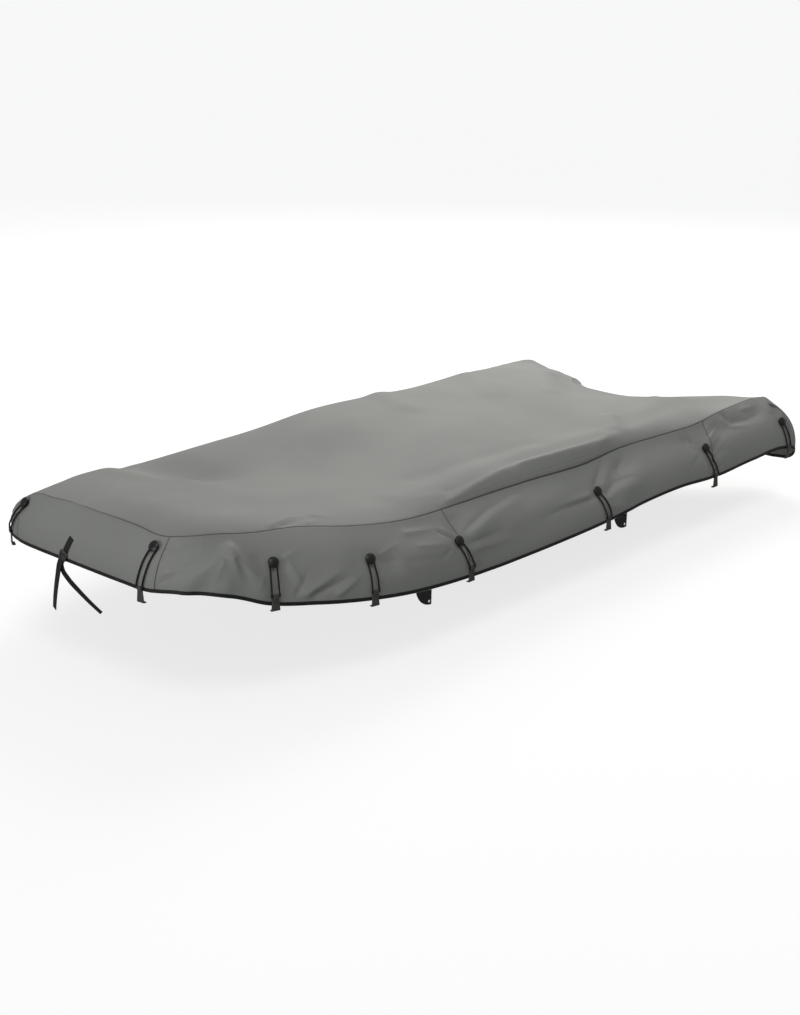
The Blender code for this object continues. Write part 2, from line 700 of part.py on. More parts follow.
# ---- fastenings --------------------------------------------------------------
class Ground:
    """The cloth and binding as built, to seat pieces on."""

    REACH = 0.06

    def __init__(self, things):
        points, faces = [], []
        for thing in things:
            base = len(points)
            points += [v.co.copy() for v in thing.data.vertices]
            thing.data.calc_loop_triangles()
            faces += [[base + i for i in face.vertices] for face in thing.data.loop_triangles]
        self.tree = BVHTree.FromPolygons(points, faces)

    def height(self, point, out):
        """How far the outermost cloth lies over this point, along out."""
        start = Vector(point) + Vector(out) * self.REACH
        hit = self.tree.ray_cast(start, -Vector(out), 2 * self.REACH)
        return None if hit[0] is None else self.REACH - hit[3]

    def highest(self, points, out):
        found = [self.height(p, out) for p in points]
        return max([h for h in found if h is not None], default=0.0)


def frame_at(place, rise, up):
    """(point, along, across, out) at a place on the wall; across points down the wall."""
    point, out = wall(np.array([place]), np.array([rise]))
    point, out = lifted(point[0], up), out[0]
    out_x, out_y = OUTLINE.out(place)
    along = np.array([-out_y, out_x, 0.0])
    along = along / np.linalg.norm(along)
    down = np.cross(out, along)
    if down[2] > 0:
        down = -down
    return point, along, down, out


def knob(name, base, along, down, out, surface):
    angles = np.arange(KNOB_SIDES) * 2 * math.pi / KNOB_SIDES
    points = []
    for turn in KNOB_OUTLINE:
        for a in angles:
            spoke = along * math.cos(a) + down * math.sin(a)
            points.append(base + spoke * turn.radius + out * turn.height)
    rings = len(KNOB_OUTLINE)
    faces = [tuple(range(KNOB_SIDES))]
    for r in range(rings - 1):
        for k in range(KNOB_SIDES):
            m = (k + 1) % KNOB_SIDES
            low, high = r * KNOB_SIDES, (r + 1) * KNOB_SIDES
            faces.append((low + k, low + m, high + m, high + k))
    faces.append(tuple(range((rings - 1) * KNOB_SIDES, rings * KNOB_SIDES)))
    made = mesh_object(name, points, faces, surface, sharp_deg=50)
    face_outwards(made)
    return made


def cord_object(name, points, radius, surface):
    curve = bpy.data.curves.new(name, "CURVE")
    curve.dimensions = "3D"
    curve.bevel_depth = radius
    curve.bevel_resolution = 2
    curve.use_fill_caps = True
    spline = curve.splines.new("POLY")
    spline.points.add(len(points) - 1)
    for slot, p in zip(spline.points, points):
        slot.co = (*map(float, p), 1.0)
    return add_object(name, curve, surface)


def hook(name, base, along, down, out, surface):
    """A flat hook: a head that holds the cord's ends, a widening plate, and a lip
    that turns in. The base is the middle of the plate's inner face at its top."""
    # side profile: (down, out, half width), outer face then inner face
    outer = (
        (-HOOK_HEAD_HEIGHT, HOOK_HEAD_THICK, HOOK_HEAD_WIDTH / 2),
        (-HOOK_HEAD_STEP, HOOK_HEAD_THICK, HOOK_HEAD_WIDTH / 2),
        (0.0, HOOK_THICK, HOOK_TOP_WIDTH / 2),
        (HOOK_BODY, HOOK_THICK, HOOK_FOOT_WIDTH / 2),
        (HOOK_BODY, -HOOK_LIP, HOOK_FOOT_WIDTH / 2),
    )
    inner = (
        (-HOOK_HEAD_HEIGHT, 0.0, HOOK_HEAD_WIDTH / 2),
        (-HOOK_HEAD_STEP, 0.0, HOOK_HEAD_WIDTH / 2),
        (0.0, 0.0, HOOK_TOP_WIDTH / 2),
        (HOOK_BODY - HOOK_THICK, 0.0, HOOK_FOOT_WIDTH / 2),
        (HOOK_BODY - HOOK_THICK, -HOOK_LIP, HOOK_FOOT_WIDTH / 2),
    )
    points = []
    for sign in (-1, 1):
        for d, o, w in outer + inner:
            points.append(base + down * d + out * o + along * (sign * w))
    n = len(outer)
    faces = []
    for k in range(n - 1):
        faces.append((k, k + 1, 2 * n + k + 1, 2 * n + k))
        faces.append((n + k, 3 * n + k, 3 * n + k + 1, n + k + 1))
        faces.append((k, n + k, n + k + 1, k + 1))
        faces.append((2 * n + k, 2 * n + k + 1, 3 * n + k + 1, 3 * n + k))
    faces.append((0, 2 * n, 3 * n, n))
    faces.append((n - 1, 2 * n - 1, 4 * n - 1, 3 * n - 1))
    made = mesh_object(name, points, faces, surface, sharp_deg=30)
    face_outwards(made)
    return made


def leg_point(ground, point, out):
    """A point of a taut leg, moved out until the cord lies on the cloth as built."""
    around = [point + np.array(step) * CORD_RADIUS * 2 for step in np.eye(3)]
    around += [point - np.array(step) * CORD_RADIUS * 2 for step in np.eye(3)]
    cloth = ground.highest([point] + around, out)
    return point + out * max(cloth + CORD_RADIUS + CORD_OFF_CLOTH, 0.0)


def loop_points(knob_base, knob_out, hook_base, hook_along, hook_out, ground):
    """The cord's centre line: from the hook's head up one leg, round the knob's
    stem, and down the other leg."""
    centre = knob_base + knob_out * CORD_AT_STEM
    middle = np.array([0, 0, HOOK_HEAD_HEIGHT * HOOK_CORD_SHARE])
    head = hook_base + middle + hook_out * HOOK_HEAD_THICK / 2
    pull = head - centre
    pull -= knob_out * np.dot(pull, knob_out)
    pull /= np.linalg.norm(pull)
    wide_at_knob = np.cross(knob_out, pull)
    if np.dot(wide_at_knob, hook_along) < 0:
        wide_at_knob = -wide_at_knob
    reach = HOOK_HEAD_WIDTH / 2 + CLEAR
    legs = []
    for sign in (-1, 1):
        turn = head + hook_along * sign * (reach + LEG_TURN)
        low = turn + np.array([0, 0, HOOK_HEAD_HEIGHT])
        high = centre + pull * LEG_LEVEL + wide_at_knob * sign * LOOP_BEND
        leg = [head + hook_along * sign * reach, turn, low]
        for t in LEG_STEPS:
            out = hook_out * (1 - t) + knob_out * t
            out /= np.linalg.norm(out)
            leg.append(leg_point(ground, low * (1 - t) + high * t, out))
        legs.append(leg + [high])
    bend = []
    for a in np.radians((-90, -45, 0, 45, 90)):
        bend.append(centre + (wide_at_knob * math.sin(a) - pull * math.cos(a)) * LOOP_BEND)
    return legs[0] + bend + legs[1][::-1]


Surfaces = namedtuple("Surfaces", "cord knob hook")


def fasten(fastening, ground, up, surfaces):
    """One knob, the flat hook under it, and the cord loop between them."""
    place = OUTLINE.place(fastening.side, fastening.knob_run)
    point, along, down, out = frame_at(place, fastening.knob_rise, up)
    foot = KNOB_OUTLINE[0].radius
    ring = [
        point + (along * math.cos(a) + down * math.sin(a)) * foot * share
        for a in np.arange(SEAT_SPOKES) * 2 * math.pi / SEAT_SPOKES
        for share in SEAT_SHARES
    ]
    base = point + out * (ground.highest(ring + [point], out) + CLEAR)
    knob("knob_" + fastening.name, base, along, down, out, surfaces.knob)

    hook_place = OUTLINE.place(fastening.side, fastening.hook_run)
    h_point, h_along, _, h_out = frame_at(hook_place, hem_rise(hook_place), up)
    h_out = np.array([h_out[0], h_out[1], 0.0])
    h_out /= np.linalg.norm(h_out)
    h_down = np.array([0.0, 0.0, -1.0])
    top = h_point + h_down * (BINDING_WIDTH - fastening.over_hem)
    half = HOOK_FOOT_WIDTH / 2
    touch = [
        top + h_along * w + h_down * d
        for w in np.linspace(-half, half, HOOK_SEAT_COLUMNS)
        for d in np.linspace(-HOOK_HEAD_HEIGHT, fastening.over_hem, HOOK_SEAT_ROWS)
    ]
    hook_base = top + h_out * (ground.highest(touch, h_out) + CLEAR)
    hook("flat_hook_" + fastening.name, hook_base, h_along, h_down, h_out, surfaces.hook)
    route = loop_points(base, out, hook_base, h_along, h_out, ground)
    cord_object("cord_loop_" + fastening.name, route, CORD_RADIUS, surfaces.cord)


# ---- hem tabs and the bow strap ------------------------------------------------
def hem_tab(name, side, run, up, surface):
    """A fin of doubled tape under the binding: a straight after edge, a curved
    fore edge, and one small eyelet near the tip."""
    ends = OUTLINE.place(side, run) - side * np.array([-1, 1]) * TAB_WIDTH / 2
    hem, outs = wall(ends, hem_rise(ends))
    aft = hem[1] - hem[0]
    aft /= np.linalg.norm(aft)
    out = np.cross(aft, [0.0, 0.0, 1.0]) * -side
    out /= np.linalg.norm(out)
    if np.dot(out, outs[0]) < 0:
        out = -out
    top = lifted(hem.mean(axis=0), up) - np.array([0, 0, BINDING_WIDTH + TAB_GAP])
    corner = np.array([-TAB_WIDTH / 2, 0.0])
    tip = np.array([TAB_WIDTH / 2 - TAB_TIP_IN, -TAB_HEIGHT])
    fore_tip = tip - [TAB_TIP_WIDTH, 0]
    pull = -np.array([TAB_WIDTH, TAB_HEIGHT]) * TAB_HOLLOW
    outline = [np.array([TAB_WIDTH / 2, 0.0]), corner]
    for t in np.linspace(0, 1, TAB_CURVE_POINTS)[1:-1]:
        outline.append((1 - t) ** 2 * corner + 2 * t * (1 - t) * pull + t * t * fore_tip)
    outline += [fore_tip, tip]
    points = []
    for sign in (-1, 1):
        for a, z in outline:
            points.append(top + aft * a + np.array([0, 0, z]) + out * sign * TAB_THICK / 2)
    n = len(outline)
    faces = [tuple(range(n)), tuple(range(2 * n - 1, n - 1, -1))]
    for k in range(n):
        m = (k + 1) % n
        faces.append((k, k + n, m + n, m))
    made = mesh_object(name, points, faces, surface, sharp_deg=30)
    face_outwards(made)
    inset = TAB_EYELET / 2 + TAB_EYELET_RIM
    eye = tip + np.array([-inset, inset + TAB_EYELET_OVER_TIP])
    middle = top + aft * eye[0] + np.array([0, 0, eye[1]])
    cut_hole(made, middle, out)
    return made


def cut_hole(thing, middle, axis):
    bpy.ops.mesh.primitive_cylinder_add(vertices=12, radius=TAB_EYELET / 2, depth=0.02)
    cutter = bpy.context.active_object
    cutter.name = thing.name + "_cutter"
    cutter.location = middle
    cutter.rotation_mode = "QUATERNION"
    cutter.rotation_quaternion = Vector(axis).to_track_quat("Z", "Y")
    cutter.hide_render = True
    cutter.display_type = "WIRE"
    cut = thing.modifiers.new("eyelet", "BOOLEAN")
    cut.operation = "DIFFERENCE"
    cut.object = cutter


def free_strap(name, forward, route, end_facing, up, surface, steps=3):
    """A flat strap from the buckle's lower edge along a route of places."""
    tilt = math.radians(STRAP_TILT_DEG)
    down = BUCKLE_HEIGHT / 2 + STRAP_GAP
    start = (
        BUCKLE_AT.x - forward,
        BUCKLE_AT.y + down * math.sin(tilt),
        BUCKLE_AT.z - down * math.cos(tilt),
    )
    raw = np.array([start] + [tuple(p) for p in route])
    along = np.concatenate([[0], np.cumsum(np.linalg.norm(np.diff(raw, axis=0), axis=1))])
    at = np.linspace(0, along[-1], steps * (len(raw) - 1) + 1)
    middle = np.stack([smooth_table(at, along, raw[:, k]) for k in range(3)], 1)
    tangent = np.gradient(middle, axis=0)
    share = (at / along[-1])[:, None]
    facing = np.array(FACING_BOW) * (1 - share) + np.array(end_facing) * share
    wide = np.cross(tangent, facing)
    wide /= np.linalg.norm(wide, axis=1, keepdims=True)
    normal = np.cross(wide, tangent)
    normal /= np.linalg.norm(normal, axis=1, keepdims=True)
    edge = wide * WEBBING_WIDTH / 2
    grid = np.stack([middle - edge, middle + edge], 1)
    normals = np.stack([normal, normal], 1)
    return sheet_object(name, lifted(grid, up), normals, WEBBING_THICK, surface)


def strap_tab(up, surface):
    """The webbing sewn to the bow panel, lying on it down to the buckle."""
    tilt = math.radians(STRAP_TILT_DEG)
    foot = BUCKLE_HEIGHT / 2 + STRAP_GAP
    back = foot + np.linspace(0, TAB_LENGTH, 6)[:, None]
    side = np.array([-0.5, 0.0, 0.5]) * WEBBING_WIDTH
    run = BUCKLE_AT.y - back * math.sin(tilt) + side * math.cos(tilt)
    rise = BUCKLE_AT.z - BOW_RISE + back * math.cos(tilt) + side * math.sin(tilt)
    off = CLOTH / 2 + WEBBING_THICK / 2 + CLEAR + FACET_DEPTH
    grid, normal = wall(OUTLINE.whole - run, rise, off)
    return sheet_object("strap_tab", lifted(grid, up), normal, WEBBING_THICK, surface)


def buckle(up, surface):
    """The strap's buckle as a bevelled block; its frame and bar are part of the finish."""
    bpy.ops.mesh.primitive_cube_add(size=1)
    made = bpy.context.active_object
    made.name = "strap_buckle"
    made.data.name = "strap_buckle"
    for v in made.data.vertices:
        v.co = (v.co.x * BUCKLE_THICK, v.co.y * BUCKLE_WIDTH, v.co.z * BUCKLE_HEIGHT)
    made.location = (BUCKLE_AT.x, BUCKLE_AT.y, BUCKLE_AT.z + up)
    made.rotation_euler = (math.radians(STRAP_TILT_DEG), 0.0, 0.0)
    made.data.materials.append(surface)
    rounded = made.modifiers.new("edges", "BEVEL")
    rounded.width = BUCKLE_EDGE
    rounded.segments = 1
    return made


def main():
    clear_scene()
    cloth = material("coated_cloth", (0.24, 0.24, 0.23), 0.75)
    tape = material("black_tape", (0.012, 0.012, 0.013), 0.7)
    surfaces = Surfaces(
        cord=material("black_cord", (0.010, 0.010, 0.011), 0.8),
        knob=material("black_plastic", (0.016, 0.014, 0.014), 0.45),
        hook=material("grey_plastic", (0.070, 0.070, 0.070), 0.45),
    )
    # the origin is the underside of the sheet's middle
    up = CLOTH / 2 - float(crown_height(np.array([0.0]), np.array([0.0]))[0])
    panels = cloth_panels(up, cloth)
    binding = hem_binding(up, tape)
    ground = Ground(panels + [binding])
    for fastening in FASTENINGS:
        fasten(fastening, ground, up, surfaces)
    for side, word in ((-1, "near"), (1, "far")):
        for number, run in enumerate(HEM_TAB_RUNS, 1):
            hem_tab(f"hem_tab_{word}_{number}", side, run, up, tape)
    strap_tab(up, tape)
    free_strap("strap_tail", TAIL_FORWARD, TAIL_ROUTE, TAIL_END_FACING, up, tape)
    free_strap("strap_long", LONG_FORWARD, LONG_ROUTE, LONG_END_FACING, up, tape)
    buckle(up, surfaces.hook)


main()
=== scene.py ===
"""The looks of the fitted cover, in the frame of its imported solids.

Metres, +Z up, the bow end towards -X, the near side -Y. Places on the walls are
(run, rise): run is the distance from the nose along the widest line, and rise the
distance up the cloth from that line.
"""

import math
from collections import namedtuple

import bmesh
import bpy
import numpy as np
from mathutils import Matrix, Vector
from mathutils.bvhtree import BVHTree


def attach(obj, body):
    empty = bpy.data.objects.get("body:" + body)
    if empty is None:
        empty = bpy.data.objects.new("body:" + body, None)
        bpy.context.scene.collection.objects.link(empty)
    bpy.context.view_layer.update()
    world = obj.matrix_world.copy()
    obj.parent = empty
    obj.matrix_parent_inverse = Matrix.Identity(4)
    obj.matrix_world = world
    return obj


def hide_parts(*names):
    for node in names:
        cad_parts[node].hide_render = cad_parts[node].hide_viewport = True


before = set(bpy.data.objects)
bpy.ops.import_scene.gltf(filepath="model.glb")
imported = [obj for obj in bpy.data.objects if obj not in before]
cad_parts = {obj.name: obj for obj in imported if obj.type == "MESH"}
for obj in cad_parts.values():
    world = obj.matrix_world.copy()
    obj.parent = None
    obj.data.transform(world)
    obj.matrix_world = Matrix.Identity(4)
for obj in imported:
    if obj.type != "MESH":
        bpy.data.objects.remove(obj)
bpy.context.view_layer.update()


def table(kind, *rows):
    """A table: a row with this kind's named columns for each group of values."""
    return tuple(kind(*row) for row in rows)


# ---- driving sizes, as cut
LENGTH = 3.30
BEAM = 1.475
NOSE_WIDTH = 1.034
BAY_DEPTH = 0.32
CLOTH = 0.0012
SEAM_GAP = 0.0003
BINDING_WIDTH = 0.014
BINDING_THICK = 0.0034
TAPE_THICK = 0.0008
CLEAR = 0.0003
TUCK = 0.0040             # the panels' lower edges lie this deep in the binding

BOW_RISE = 0.172
RISE_STARTS_X = -0.295
RISE_POWER = 1.666

PANEL_STEP = 0.076
CORNER_TIGHTEN = 0.16
TOP_COLUMNS = 18
WALL_FINER = 14           # fine wall columns in each main one
TOP_FINER = 7
EDGE_WEIGHT = 0.45        # the sheet's columns crowd towards its sides by this share
WALL_ROW = 0.0052
WALL_HEIGHT = 0.25
EDGE_ROWS = (0.0, 0.0012, 0.0028, 0.0050, 0.0080)

Corner = namedtuple("Corner", "x y rounding")
CORNERS = table(
    Corner,
    (-LENGTH / 2, 0.0, 0.0),
    (-LENGTH / 2, NOSE_WIDTH / 2, 0.242),
    (-0.958, BEAM / 2, 0.219),
    (LENGTH / 2, BEAM / 2, 0.070),
    (LENGTH / 2, 0.475, 0.130),
    (LENGTH / 2 - BAY_DEPTH, 0.200, 0.140),
    (LENGTH / 2 - BAY_DEPTH, 0.0, 0.0),
)
CORNER_POINTS = 12

Section = namedtuple("Section", "run radius near_deg far_deg line_up near_hem far_hem")
SECTIONS = table(
    Section,
    (0.00, 0.222, 49.0, 49.0, 0.000, 0.000, 0.000),
    (0.10, 0.222, 49.5, 49.5, 0.000, 0.000, 0.000),
    (0.22, 0.222, 49.0, 47.5, 0.000, 0.001, 0.000),
    (0.35, 0.222, 47.5, 44.0, 0.000, 0.004, 0.002),
    (0.46, 0.222, 52.5, 25.0, 0.000, 0.022, 0.006),
    (0.62, 0.222, 61.0, 27.0, 0.000, 0.028, 0.018),
    (0.78, 0.222, 65.0, 34.5, 0.000, 0.000, 0.003),
    (0.92, 0.222, 71.0, 43.0, 0.000, -0.002, 0.008),
    (1.16, 0.222, 69.5, 39.0, 0.000, -0.002, 0.000),
    (1.45, 0.222, 67.0, 50.0, 0.000, -0.002, 0.006),
    (1.78, 0.222, 70.0, 68.0, 0.000, 0.001, 0.010),
    (2.10, 0.222, 68.0, 70.0, 0.000, 0.001, 0.012),
    (2.42, 0.222, 64.0, 67.0, 0.000, 0.008, 0.000),
    (2.67, 0.222, 68.0, 66.0, 0.000, 0.025, 0.012),
    (2.90, 0.222, 66.0, 65.0, 0.000, 0.028, 0.020),
    (3.14, 0.222, 63.5, 56.0, 0.000, 0.014, 0.004),
    (3.42, 0.222, 70.0, 51.0, 0.000, 0.022, 0.014),
    (3.66, 0.220, 70.0, 42.0, 0.000, 0.018, 0.012),
    (3.74, 0.212, 68.5, 34.0, 0.001, -0.004, -0.008),
    (3.81, 0.202, 66.0, 28.0, 0.002, -0.062, -0.062),
    (3.88, 0.190, 64.0, 22.0, 0.004, -0.078, -0.078),
    (4.00, 0.156, 62.5, 12.0, 0.024, -0.096, -0.096),
    (4.12, 0.128, 62.5, 8.0, 0.046, -0.116, -0.118),
    (4.22, 0.104, 66.0, 26.0, 0.060, -0.130, -0.132),
    (4.34, 0.085, 70.0, 70.0, 0.075, -0.150, -0.150),
    (4.65, 0.070, 72.0, 72.0, 0.084, -0.160, -0.160),
)

Crown = namedtuple("Crown", "x near middle far")
CROWNS = table(
    Crown,
    (-1.60, 0.374, 0.358, 0.272),
    (-1.43, 0.370, 0.354, 0.276),
    (-1.24, 0.338, 0.322, 0.276),
    (-1.08, 0.310, 0.292, 0.252),
    (-0.92, 0.282, 0.262, 0.200),
    (-0.70, 0.258, 0.244, 0.232),
    (-0.47, 0.248, 0.242, 0.257),
    (-0.14, 0.262, 0.260, 0.292),
    (0.30, 0.258, 0.256, 0.268),
    (0.58, 0.244, 0.238, 0.244),
    (0.90, 0.234, 0.222, 0.236),
    (1.15, 0.216, 0.184, 0.206),
    (1.32, 0.190, 0.152, 0.170),
    (1.48, 0.200, 0.142, 0.138),
    (1.65, 0.204, 0.138, 0.070),
)
CROWN_PLACE = 0.44
SIDES_MEET = 0.15            # the sections of the two sides blend this near the middle
# how far in from its seams the top sheet levels out
Shoulder = namedtuple("Shoulder", "x near far")
SHOULDERS = table(
    Shoulder,
    (-1.60, 0.150, 0.150),
    (-0.70, 0.120, 0.150),
    (-0.42, 0.062, 0.150),
    (0.00, 0.046, 0.150),
    (0.46, 0.046, 0.150),
    (0.70, 0.075, 0.150),
    (1.10, 0.130, 0.150),
    (1.65, 0.150, 0.150),
)
END_SHOULDER = 0.150

Seam = namedtuple("Seam", "at_hem at_top")
BOW_SEAM = Seam(0.369, 0.387)
FORE_SEAM = Seam(1.622, 1.618)
AFT_SEAM = Seam(3.115, 3.212)
STERN_SEAM = Seam(3.695, 3.740)
LOBE_TURN = 3.87

# ---- folds and creases: side is -1 near and +1 far; lift is out (+) or in (-) ----
Fold = namedtuple("Fold", "side x0 y0 x1 y1 width lift")


def fold_table(*rows):
    """Folds from rows in millimetres, but for the side."""
    return tuple(Fold(row[0], *(np.array(row[1:]) / 1000)) for row in rows)


MAIN_FOLDS = fold_table(
    (-1, 655, 165, 480, 40, 34, 9),
    (-1, 655, 165, 735, 30, 34, 8),
    (-1, 650, 130, 610, 50, 30, 7),
    (-1, 545, 70, 530, 30, 30, -7),
    (-1, 760, 120, 800, 60, 45, -7),
    (-1, 1120, 120, 1260, 110, 45, -7),
    (-1, 1300, 90, 1520, 130, 50, 6),
    (-1, 1590, 130, 1640, 200, 40, -8),
    (-1, 1700, 150, 1960, 215, 45, 8),
    (-1, 1720, 70, 2360, 118, 50, -7),
    (-1, 1900, 140, 2200, 170, 55, 6),
    (-1, 2430, 125, 2620, 185, 45, -8),
    (-1, 2520, 80, 2660, 130, 50, 7),
    (-1, 3050, 190, 3150, 60, 40, -7),
    (-1, 3280, 190, 3560, 200, 40, -9),
    (1, 560, 110, 640, 30, 45, 8),
    (1, 800, 120, 900, 150, 50, -7),
    (1, 1140, 110, 1360, 150, 50, -8),
    (1, 1620, 120, 1900, 190, 50, 8),
    (1, 1980, 80, 2380, 120, 55, -8),
    (1, 2440, 120, 2700, 170, 50, -7),
    (1, 2800, 60, 2960, 160, 50, 7),
    (1, 3200, 190, 3480, 190, 45, -8),
)
TOP_FOLDS = fold_table(
    (0, -620, -460, 500, -505, 60, 12),
    (0, -400, -360, 200, -420, 50, -8),
    (0, 620, -500, 740, -380, 45, 14),
    (0, -1140, 500, -1020, 200, 70, 14),
    (0, 290, 500, 200, 250, 60, 12),
    (0, 860, 500, 700, 220, 60, 10),
    (0, 1300, 420, 950, 100, 70, 12),
    (0, 1300, -300, 900, -420, 60, 8),
)

# where the wall is pulled flat between its knobs and the top seam, by how much
Flat = namedtuple("Flat", "run near far")
FLATS = table(
    Flat,
    (0.00, 0.005, 0.005), (0.45, 0.004, 0.002), (0.75, 0.005, 0.002),
    (1.16, 0.008, 0.004), (1.60, 0.011, 0.006), (2.10, 0.014, 0.008),
    (2.70, 0.014, 0.008), (3.20, 0.012, 0.005), (3.60, 0.006, 0.002),
    (3.87, 0.000, 0.000), (4.65, 0.000, 0.000),
)
FLAT_FROM_RISE = 0.08
FLAT_PEAK = 27 / 4            # brings the peak of t * t * (1 - t) to 1

# a crease is sharpest at its route's first place; the walls' lifts count this much.
# The far side has the same ones, fitted to its own height, fainter and further aft
CREASE_DEPTH = 1.6
CREASE_SHARPNESS = 1.5
CREASE_AT_START = 0.2        # its share at the route's first place, and how fast it grows
CREASE_GROWS = 8
FOLDS_FADE = 0.05            # folds and creases are gone by the seam, from this far off
CREASES_FADE = 0.014
EDGES_BLEND = 0.004
WAVE_TURNS = 900             # an uneven wave repeats after this many
WAVE_START = 20
FAR_SHARE = 0.8
FAR_AFT = 0.03
Crease = namedtuple("Crease", "route width lift")


def crease_table(*rows):
    """Creases from rows in millimetres: width, lift, then the route's places."""
    scaled = [np.array(row) / 1000 for row in rows]
    return tuple(Crease(row[2:].reshape(-1, 2), row[0], row[1]) for row in scaled)


WALL_CREASES = crease_table(
    (12, 2.8, 400, 89, 610, 158),
    (10, 3, 404, 135, 508, 193),
    (8, -2, 404, 109, 492, 145),
    (10, 2.5, 396, 60, 488, 104),
    (9, -2, 384, 30, 456, 69),
    (16, 2.2, 650, 150, 668, 42),
    (14, -4.5, 660, 147, 712, 39),
    (12, 3, 680, 149, 756, 39),
    (14, 3, 620, 140, 568, 49),
    (14, 3, 608, 148, 504, 64),
    (14, 1.5, 650, 170, 672, 210),
    (10, 2.5, 824, 138, 908, 183),
    (10, -3, 824, 120, 852, 37),
    (11, 3, 848, 138, 892, 29),
    (12, -2, 760, 144, 708, 156),
    (9, 2, 752, 86, 724, 37),
    (14, 5.5, 880, 16, 1052, 108),
    (12, -5, 912, 13, 1080, 81),
    (10, -3, 856, 18, 924, 112),
    (12, 4.5, 1000, 10, 1124, 84),
    (10, 2.5, 1204, 137, 1328, 175),
    (10, -2.5, 1204, 112, 1324, 112),
    (11, 2.5, 1192, 73, 1256, 19),
    (14, -3, 1228, 111, 1380, 37),
    (14, 3.5, 1364, 208, 1552, 197),
    (16, -3, 1304, 100, 1536, 81),
    (12, 2.5, 1384, 146, 1548, 125),
    (8, -3.5, 1528, 187, 1584, 135),
    (8, 2, 1552, 194, 1600, 148),
    (15, -5, 1640, 150, 1816, 211, 2128, 253),
    (20, 2.2, 1652, 128, 1844, 188, 2124, 222),
    (12, -4.5, 1624, 105, 1868, 118),
    (14, 3.5, 1636, 83, 1924, 73),
    (10, -2, 1548, 106, 1460, 71),
    (12, -6, 2380, 101, 2164, 107, 2036, 100),
    (12, 4, 2364, 122, 2144, 129),
    (12, -4.2, 2424, 97, 2516, 134, 2656, 127),
    (14, 2.2, 2416, 79, 2524, 101, 2688, 88),
    (18, 2.6, 2440, 132, 2588, 239),
    (14, -4, 2404, 148, 2536, 246),
    (16, -3, 2564, 175, 2668, 238),
    (14, 2, 2412, 59, 2620, 8),
    (7, -4, 3072, 195, 3108, 150),
    (8, 2.5, 3040, 177, 3084, 137),
    (7, 3, 3080, 101, 3092, 27),
    (10, -2, 3064, 113, 2968, 70),
    (12, -2, 3152, 105, 3296, 82),
    (14, -5.5, 3360, 261, 3392, 208, 3500, 188, 3616, 202),
    (11, 4, 3320, 234, 3364, 180, 3480, 158),
    (10, 3, 3488, 241, 3596, 233),
    (8, -3, 3636, 179, 3692, 145),
    (10, 2, 3600, 125, 3612, 55),
)
TOP_CREASES = crease_table(
    (14, 7.5, -497, -587, -302, -566, -63, -556),
    (13, 7, -63, -556, 133, -573, 426, -577),
    (22, -6, -456, -539, -140, -554),
    (25, -3, -87, -528, 121, -551),
    (13, 8, 393, -588, 513, -563),
    (8, -3, 122, -565, 165, -601),
    (12, 5, -1249, -488, -1148, -466, -1045, -471),
    (12, 5, -1045, -471, -975, -509),
    (9, -4, -1204, -501, -1117, -492),
    (9, 3, -1105, -516, -1017, -506),
    (16, 6, 1426, 608, 1238, 182, 1135, 8),
    (12, -4, 1488, 585, 1294, 236),
    (12, 4, 1304, -179, 1096, -389),
    (10, 3, 1526, -473, 1563, -511),
)

# puckers at the sewn edges: how deep, how far apart, how far they reach
TOP_PUCKER = 0.0007
TOP_PUCKER_PITCH = 0.026
TOP_PUCKER_REACH = 0.016
PUCKER_SLANT = 0.45
PUCKER_SHARPNESS = 1.3
Pucker = namedtuple("Pucker", "side seam lift pitch fore_reach aft_reach")
PUCKERS = table(
    Pucker,
    (-1, BOW_SEAM, 0.0040, 0.016, 0.008, 0.055),
    (-1, FORE_SEAM, 0.0011, 0.015, 0.010, 0.030),
    (-1, AFT_SEAM, 0.0040, 0.015, 0.010, 0.065),
    (-1, STERN_SEAM, 0.0008, 0.014, 0.012, 0.020),
    (1, BOW_SEAM, 0.0016, 0.013, 0.010, 0.040),
    (1, FORE_SEAM, 0.0011, 0.015, 0.010, 0.030),
    (1, AFT_SEAM, 0.0015, 0.013, 0.012, 0.040),
    (1, STERN_SEAM, 0.0008, 0.014, 0.012, 0.020),
)
SEAM_DIP = 0.0011
SEAM_DIP_REACH = 0.0032
SEAM_DIP_SHARPNESS = 1.5

# ---- fastenings
Fastening = namedtuple("Fastening", "name side knob_run knob_rise hook_run over_hem")
FASTENINGS = table(
    Fastening,
    ("near_1", -1, 0.343, 0.141, 0.311, 0.003),
    ("near_2", -1, 0.793, 0.131, 0.780, 0.028),
    ("near_3", -1, 1.163, 0.128, 1.156, 0.024),
    ("near_4", -1, 1.597, 0.126, 1.623, 0.030),
    ("near_5", -1, 2.394, 0.125, 2.418, 0.013),
    ("near_6", -1, 3.116, 0.132, 3.137, 0.005),
    ("near_7", -1, 3.665, 0.121, 3.680, 0.003),
    ("far_1", 1, 0.360, 0.128, 0.440, 0.012),
    ("far_2", 1, 0.800, 0.100, 0.792, 0.026),
    ("far_3", 1, 1.170, 0.100, 1.165, 0.024),
    ("far_4", 1, 1.600, 0.128, 1.610, 0.028),
    ("far_5", 1, 2.400, 0.128, 2.418, 0.013),
    ("far_6", 1, 3.110, 0.130, 3.120, 0.005),
    ("far_7", 1, 3.660, 0.118, 3.672, 0.003),
)
Turn = namedtuple("Turn", "height radius")
